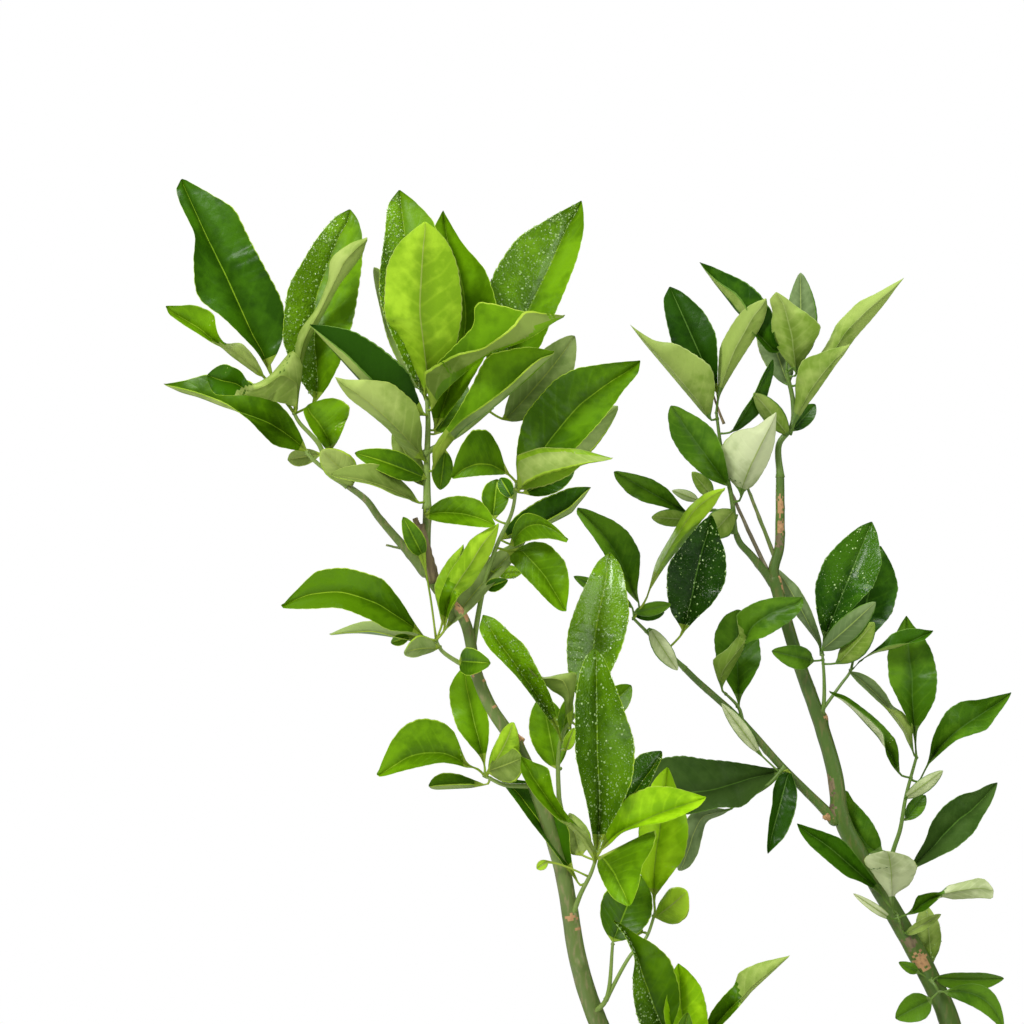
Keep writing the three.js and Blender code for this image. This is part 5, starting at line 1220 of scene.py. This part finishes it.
# Sprays that grow wholly by rule, first as the solids do and then on to finer twigs within the same reach
growth = {
    "turn": math.radians(137.5), "radius": 2.1, "bend": 0.35, "twigSpread": math.radians(52), "twigsFrom": 0.2,
    "twigsOver": 0.65, "twigShare": 0.55, "twigLongest": 1.15, "twigShortening": 0.5, "stemLeaves": 6, "twigLeaves": 3,
    "firstOnStem": 0.14, "firstOnTwig": 0.35, "lastLeaf": 0.96, "leafSpread": math.radians(50), "endSpread": 0.35,
    "leafLift": 0.12, "leafLength": (54, 80), "leafWidth": (0.4, 0.48), "neck": 0.11, "bow": 0.06,
    "twigRadius": 0.8, "tipRadius": 0.6, "fineTwigs": 2, "finesFrom": 0.3, "finesOver": 0.6, "finesLoose": 0.6,
    "fineShare": 0.62, "fineLengths": (0.7, 1), "fineRadius": 0.5, "fineLeaves": 3, "fineFrom": 0.4,
    "fineLength": (42, 66), "reachBeyond": 5,
    "fineness": 0.5, "twigMargin": 8, "boughMargin": 2, "firstSeed": 11,
    "finishes": ("mid", "fresh", "mid", "deep", "mid"),
}
# Name, limb it grows on, share of that limb, heading, length, twigs
fullSprays = [dict(zip(("name", "limb", "share", "heading", "length", "twigs"), row)) for row in (
    ("outer_high_top_spray", "outer_high_bough", 1, (0.12, -0.05, 1), 150, 5),
    ("outer_high_side_spray", "outer_high_bough", 0.64, (0.9, -0.42, 0.55), 105, 5),
    ("back_high_top_spray", "back_high_bough", 1, (0.1, 0.03, 1), 140, 5),
    ("back_high_side_spray", "back_high_bough", 0.68, (0.42, 0.9, 0.4), 105, 5),
    ("right_low_spray_end", "right_low_bough", 1, (0.9, 0.2, 0.42), 110, 5),
    ("front_right_spray", "front_right_bough", 1, (0.5, -0.62, 0.42), 95, 5),
    ("front_left_spray", "front_left_bough", 1, (-0.5, -0.72, 0.42), 95, 5),
    ("back_left_spray", "back_left_bough", 1, (-0.42, 0.85, 0.1), 95, 5),
    ("left_low_spray_end", "left_low_bough", 1, (-0.95, 0.08, 0.26), 100, 5),
    ("left_inside_spray", "left_bough", 0.16, (-0.35, 0.75, 0.45), 85, 3),
    ("right_inside_spray", "right_bough", 0.16, (-0.5, 0.7, 0.4), 85, 3),
    ("outer_inside_spray", "outer_high_bough", 0.3, (0.25, -0.75, 0.3), 80, 3),
)]
grownParts = {
    "leaves_high_right": fullSprays[:2], "leaves_high_back": fullSprays[2:4], "leaves_low_right": fullSprays[4:6],
    "leaves_low_left": fullSprays[6:9], "leaves_inside": fullSprays[9:],
}
lift = vec(0, 0, 1)


def bentCourse(start, way, length):
    middle = start + way * length * 0.5
    return [start, middle, middle + unit(way + lift * growth["bend"]) * length * 0.5]


def fan(way, turn, spread):
    side = turnAbout(unit(np.cross(way, vec(1, 0, 0) if abs(way[2]) > 0.9 else lift)), way, turn)
    return unit(way * math.cos(spread) + side * math.sin(spread))


# Leaves at a steady turn along one stem or twig
def leavesAlong(index, points, first, count, turn, drawLength, drawWidth, random):
    course, leaves = courseOf(points), []
    for k in range(count):
        root, way = pointAt(course, lerp(first, growth["lastLeaf"], k / (count - 1)))
        spread = growth["leafSpread"] * (growth["endSpread"] if k == count - 1 else 1)
        length = drawLength()
        finish = growth["finishes"][random.integers(len(growth["finishes"]))]
        outward = unit(fan(way, turn, spread) + lift * growth["leafLift"]) * length
        leaves.append({
            "root": root, "foot": root + outward * growth["neck"], "tip": root + outward,
            "width": length * drawWidth(), "facing": unit(way * 0.6 + lift * 0.8), "roll": 0, "bow": growth["bow"],
            "sweep": 0, "tone": finish, "twig": index, "fineness": growth["fineness"]})
        turn += growth["turn"]
    return leaves, turn


# The twigs and leaves of one spray: those of the solids, then finer ones on each twig
def growSpray(spray, seed, random):
    draw = seeded(seed)
    heading = unit(vec(*spray["heading"]))
    foot, _ = pointAt(limbs[spray["limb"]]["course"], spray["share"])
    stem = bentCourse(foot, heading, spray["length"])
    twigs = [{"points": stem, "parent": None, "radius": growth["radius"]}]
    turn = draw() * math.pi * 2
    for k in range(spray["twigs"]):
        share = growth["twigsFrom"] + growth["twigsOver"] * k / spray["twigs"]
        length = spray["length"] * growth["twigShare"] * (growth["twigLongest"] - growth["twigShortening"] * share)
        root, _ = pointAt(courseOf(stem), share)
        points = bentCourse(root, fan(heading, turn, growth["twigSpread"]), length)
        twigs.append({"points": points, "parent": 0, "radius": growth["radius"] * growth["twigRadius"]})
        turn += growth["turn"]
    leaves = []
    for index, twig in enumerate(twigs):
        first = growth["firstOnTwig"] if index else growth["firstOnStem"]
        count = growth["twigLeaves"] if index else growth["stemLeaves"]
        more, turn = leavesAlong(index, twig["points"], first, count, turn, lambda: lerp(*growth["leafLength"], draw()),
                                 lambda: lerp(*growth["leafWidth"], draw()), random)
        leaves += more
    for parent in range(len(twigs)):
        course = courseOf(twigs[parent]["points"])
        for k in range(growth["fineTwigs"]):
            place = (k + random.uniform(0, growth["finesLoose"])) / growth["fineTwigs"]
            root, way = pointAt(course, growth["finesFrom"] + growth["finesOver"] * place)
            length = course["length"] * growth["fineShare"] * random.uniform(*growth["fineLengths"])
            points = bentCourse(root, fan(way, turn, growth["twigSpread"]), length)
            twigs.append({"points": points, "parent": parent, "radius": growth["radius"] * growth["fineRadius"]})
            more, turn = leavesAlong(len(twigs) - 1, points, growth["fineFrom"], growth["fineLeaves"],
                                     turn + growth["turn"], lambda: random.uniform(*growth["fineLength"]),
                                     lambda: random.uniform(*growth["leafWidth"]), random)
            leaves += more
    return twigs, leaves


# A leaf or twig stays within the reach of its solid, out of the front view and out of the boughs
def keepsTo(place, low, high):
    beyond = growth["reachBeyond"]
    return np.all(place > low - beyond) and np.all(place < high + beyond)


def leafShows(leaf):
    way = unit(leaf["tip"] - leaf["foot"])
    across = unit(np.cross(way, vec(0, 1, 0))) * leaf["width"] / 2
    middle = lerp(leaf["foot"], leaf["tip"], 0.45)
    places = (leaf["root"], leaf["foot"], leaf["tip"], middle + across, middle - across)
    return any(showsOnSheet(place) for place in places)


def clearOfBoughs(root, tip):
    places = root + (tip - root) * np.linspace(0.25, 1, 6)[:, None]
    return all(np.linalg.norm(limb["course"]["places"][::6, None] - places, axis=2).min()
               >= limb["radii"][0] + growth["boughMargin"] for limb in limbs.values())


for part, sprays in grownParts.items():
    leafBag = newBag()
    for spray in sprays:
        seed = growth["firstSeed"] + fullSprays.index(spray)
        random = np.random.default_rng(seed)
        twigs, leaves = growSpray(spray, seed, random)
        low, high = (np.array(corner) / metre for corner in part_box(spray["name"]))
        standing = set()
        for index, twig in enumerate(twigs):
            points, parent = twig["points"], twig["parent"]
            fits = parent is None or (parent in standing and keepsTo(points[-1], low, high))
            clear = index <= spray["twigs"] or clearOfBoughs(points[0], points[-1])
            if fits and clear and not any(showsOnSheet(place, growth["twigMargin"]) for place in points):
                standing.add(index)
                addTwig(twigBag, points, twig["radius"], twig["radius"] * growth["tipRadius"])
        kept = [leaf for leaf in leaves
                if leaf["twig"] in standing and keepsTo(leaf["tip"], low, high) and not leafShows(leaf)
                and clearOfBoughs(leaf["root"], leaf["tip"])]
        for leaf in kept:
            addLeaf(leafBag, leaf, random)
        print("grew", spray["name"], "with", len(kept), "of", len(leaves), "leaves")
    addMesh(part, leafBag, leafMaterials.values(), [spray["name"] for spray in sprays])
addMesh("twigs", twigBag, twigMaterials, [*frontSprays, *(spray["name"] for spray in fullSprays)])

# The water drops: low domes, all in one piece, their pale green a painted highlight for the light they catch
dropMaterial = newMaterial("water drops", grain, 0.08, specular=1.0, Color=(0.34, 0.52, 0.15),
                           Fleck_Color=(0.42, 0.52, 0.34), Fleck_Share=0.25, Cloud=0.1)
dropBag = newBag()
angle = anglesRound(dropShape["sides"])
for centre, normal, ahead, radius in wetPlaces:
    circle = np.cos(angle)[:, None] * ahead + np.sin(angle)[:, None] * np.cross(normal, ahead)
    addRings(dropBag, np.stack([centre + normal * (sunk + rise * radius) + circle * radius * width
                                for sunk, rise, width in dropShape["levels"]]))
addMesh("water_drops", dropBag, [dropMaterial], frontSprays)

# Clay pot: the solids' outline turned finely, with softened rim and foot, throwing lines and drain holes
potShape = {
    "height": 230, "footRadius": 90, "rimRadius": 131, "wall": 9, "floor": 12, "bandHeight": 38, "bandStep": 6,
    "drainRadius": 6, "drainCircle": 48, "drains": 4, "around": 144, "rounding": 2.6, "roundingSteps": 5,
    "stepLength": 3.5, "throwing": 0.22, "throwingPitches": (0.9, 0.23), "throwingWander": 0.6,
    "thrown": (4, 224), "inset": 0.15, "middleRadius": 6,
}
clayMaterial = newMaterial("fired clay", grain, 0.85, bump=0.5, depth=0.0006, Color=(0.50, 0.185, 0.085),
                           Fleck_Color=(0.62, 0.33, 0.20), Fleck_Share=0.35, Scale=320.0, Cloud_Scale=9.0, Cloud=0.35)


def roundedOutline(corners, rounding, steps):
    corners = np.array(corners, float)
    outline = [corners[0]]
    for before, corner, after in zip(corners, corners[1:], corners[2:]):
        reach = min(rounding, np.linalg.norm(before - corner) * 0.4, np.linalg.norm(after - corner) * 0.4)
        first, last = corner + unit(before - corner) * reach, corner + unit(after - corner) * reach
        for share in np.linspace(0, 1, steps):
            outline.append(lerp(lerp(first, corner, share), lerp(corner, last, share), share))
    return [*outline, corners[-1]]


def spread(outline, longest):
    dense = [outline[0]]
    for a, b in zip(outline, outline[1:]):
        parts = max(1, int(np.linalg.norm(b - a) / longest))
        dense.extend(a + (b - a) * k / parts for k in range(1, parts + 1))
    return np.array(dense)


def addPot():
    shape = potShape
    foot, rim, wall, height, floorTop = (shape[part] for part in ("footRadius", "rimRadius", "wall", "height", "floor"))
    bandFoot, wallTop = height - shape["bandHeight"], rim - shape["bandStep"]
    floorOut = lerp(foot, wallTop, floorTop / bandFoot)
    corners = [
        (shape["middleRadius"], 0), (foot, 0), (wallTop, bandFoot), (rim - 0.5, bandFoot + 1), (rim, height),
        (rim - wall, height), (wallTop - wall, bandFoot), (floorOut - wall, floorTop),
        (shape["middleRadius"], floorTop)]
    outline = spread(roundedOutline(corners, shape["rounding"], shape["roundingSteps"]), shape["stepLength"])
    angle = anglesRound(shape["around"])
    out, up = outline[:, :1], outline[:, 1:]
    (fine, wide), (lowest, highest) = shape["throwingPitches"], shape["thrown"]
    thrown = (out > lerp(foot, wallTop, up / bandFoot) - 2) & (up > lowest) & (up < highest)
    lines = np.sin(up * fine + shape["throwingWander"] * np.sin(angle)) * np.sin(up * wide) * shape["throwing"]
    radius = out + lines * thrown - shape["inset"]
    bag = newBag()
    addRings(bag, np.stack([radius * np.cos(angle), radius * np.sin(angle), up + 0 * radius], -1))
    piece = addMesh("clay_pot", bag, [clayMaterial], ["pot"])
    for k in range(shape["drains"]):
        turn = (k + 0.5) / shape["drains"] * 2 * math.pi
        middle = vec(math.cos(turn) * shape["drainCircle"], math.sin(turn) * shape["drainCircle"], floorTop / 2)
        bpy.ops.mesh.primitive_cylinder_add(
            vertices=24, radius=shape["drainRadius"] * metre, depth=floorTop * 3 * metre, location=middle * metre)
        cutter = bpy.context.object
        cut = piece.modifiers.new("drain", "BOOLEAN")
        cut.object, cut.operation, cut.solver = cutter, "DIFFERENCE", "EXACT"
        bpy.context.view_layer.objects.active = piece
        bpy.ops.object.modifier_apply(modifier=cut.name)
        bpy.data.objects.remove(cutter)


addPot()

# Soil: a low uneven surface with crumbs on it
soilShape = {
    "top": 204, "rings": 60, "around": 120, "fromWall": 3.4, "waves": 12, "rise": 1.6, "roughness": 0.22,
    "edgeWidth": 12, "edgeDrop": 3.4, "sunk": 0.4, "depth": 20, "crumbs": 900, "crumb": (0.8, 2.6), "crumbSides": 6,
    "crumbLevels": ((-0.55, 0.75), (0.1, 1.0), (0.6, 0.6)), "crumbUneven": (0.75, 1.1), "crumbReach": 0.97,
    "crumbSunk": 0.3, "slopeFrom": 104, "slopeWidth": 14, "slopeDrop": 2.6,
}
soilMaterial = newMaterial("potting soil", grain, 0.95, bump=1.0, depth=0.001, Color=(0.052, 0.034, 0.022),
                           Fleck_Color=(0.11, 0.075, 0.048), Fleck_Share=0.7, Scale=300.0, Cloud_Scale=40.0, Cloud=0.8)


def addSoil():
    shape = soilShape
    random = np.random.default_rng(3)
    angle = anglesRound(shape["around"])
    innerWall = potShape["rimRadius"] - potShape["wall"] - shape["fromWall"]
    reach = np.sqrt(np.linspace(0.0004, 1, shape["rings"])) * innerWall
    grid = reach[:, None] * np.ones_like(angle)
    x, y = grid * np.cos(angle), grid * np.sin(angle)
    waves = sum(np.sin(x * random.uniform(0.05, 0.4) + y * random.uniform(-0.4, 0.4) + random.uniform(0, 6))
                for _ in range(shape["waves"])) / shape["waves"]
    edge = np.clip((grid - innerWall + shape["edgeWidth"]) / shape["edgeWidth"], 0, 1)
    z = (shape["top"] - shape["sunk"] + waves * shape["rise"] + random.normal(0, shape["roughness"], grid.shape)
         - shape["edgeDrop"] * edge)
    bottom = np.full(len(angle), shape["top"] - float(shape["depth"]))
    lowRings = [np.stack([x[row] * inset, y[row] * inset, bottom], -1) for row, inset in ((-1, 0.97), (0, 1))]
    bag = newBag()
    addRings(bag, np.concatenate([np.stack([x, y, z], -1), lowRings])[::-1])
    levels, widths = (np.array(column)[:, None] for column in zip(*shape["crumbLevels"]))
    for _ in range(shape["crumbs"]):
        away = innerWall * shape["crumbReach"] * math.sqrt(random.uniform(0.02, 1))
        turn = random.uniform(0, 2 * math.pi)
        size = random.uniform(*shape["crumb"]) * random.uniform(0.5, 1)
        drop = shape["slopeDrop"] * max(0, (away - shape["slopeFrom"]) / shape["slopeWidth"])
        centre = vec(away * math.cos(turn), away * math.sin(turn), shape["top"] - shape["crumbSunk"] - drop)
        sides = anglesRound(shape["crumbSides"]) + random.uniform(0, 1)
        uneven = widths * random.uniform(*shape["crumbUneven"], (len(levels), shape["crumbSides"]))
        lump = np.stack([uneven * np.cos(sides), uneven * np.sin(sides), levels + 0 * uneven], -1)
        addRings(bag, lump * size + centre)
    addMesh("potting_soil", bag, [soilMaterial], ["soil"], smooth=False)


addSoil()

# Camera at the photograph's angle: it looks level along +Y and its frame is the sheet
camera = bpy.data.objects.new("camera", bpy.data.cameras.new("camera"))
camera.data.lens = camera.data.sensor_width * sightLength / sheet["side"]
camera.location = sheet["eye"] * metre
camera.rotation_euler = (math.pi / 2, 0, 0)
bpy.context.scene.collection.objects.link(camera)
bpy.context.scene.camera = camera

# Pale round floor, short enough to stay out of the front view, and soft studio light
floorShape = {"radius": 2.0, "corners": 128, "color": (0.86, 0.86, 0.85), "roughness": 0.8}
bpy.ops.mesh.primitive_circle_add(vertices=floorShape["corners"], radius=floorShape["radius"], fill_type="NGON")
floor = bpy.context.object
floor.name = "floor"
floorMaterial = bpy.data.materials.new("pale floor")
floorMaterial.use_nodes = True
tree = floorMaterial.node_tree
feed(tree, tree.nodes["Principled BSDF"], "Base Color", floorShape["color"])
feed(tree, tree.nodes["Principled BSDF"], "Roughness", floorShape["roughness"])
floor.data.materials.append(floorMaterial)

studio = {"ambient": 0.56, "gloss": 0.06, "backdrop": 1.0, "aim": vec(-0.05, 0.0, 0.75)}
lamps = {
    "key": {"place": (-1.3, -1.5, 2.1), "size": 0.6, "power": 34},
    "overhead": {"place": (0.1, 0.3, 2.5), "size": 1.0, "power": 24},
    "right fill": {"place": (1.6, -1.1, 1.1), "size": 0.9, "power": 8},
    "back": {"place": (-0.5, 1.9, 1.3), "size": 1.6, "power": 16},
}
for name, lamp in lamps.items():
    light = bpy.data.lights.new(name, "AREA")
    light.shape, light.size, light.energy = "DISK", lamp["size"], lamp["power"]
    holder = bpy.data.objects.new(name, light)
    holder.location = lamp["place"]
    aim = studio["aim"] - vec(*lamp["place"])
    holder.rotation_euler = (math.acos(-aim[2] / np.linalg.norm(aim)), 0, math.atan2(aim[1], aim[0]) - math.pi / 2)
    bpy.context.scene.collection.objects.link(holder)

world = bpy.data.worlds.new("studio")
world.use_nodes = True
bpy.context.scene.world = world
tree = world.node_tree
tree.nodes.clear()
rays = tree.nodes.new("ShaderNodeLightPath").outputs
shown, gloss, backdrop = (wire(tree, "ShaderNodeBackground", {}, (1, 1, 1), studio[part])
                          for part in ("ambient", "gloss", "backdrop"))
for ray, other in (("Is Glossy Ray", gloss), ("Is Camera Ray", backdrop)):
    shown = wire(tree, "ShaderNodeMixShader", {}, Wire(tree, rays[ray]), shown, other)
feed(tree, tree.nodes.new("ShaderNodeOutputWorld"), 0, shown)
bpy.context.scene.view_settings.view_transform = "Standard"
print("set camera, lamps and floor")
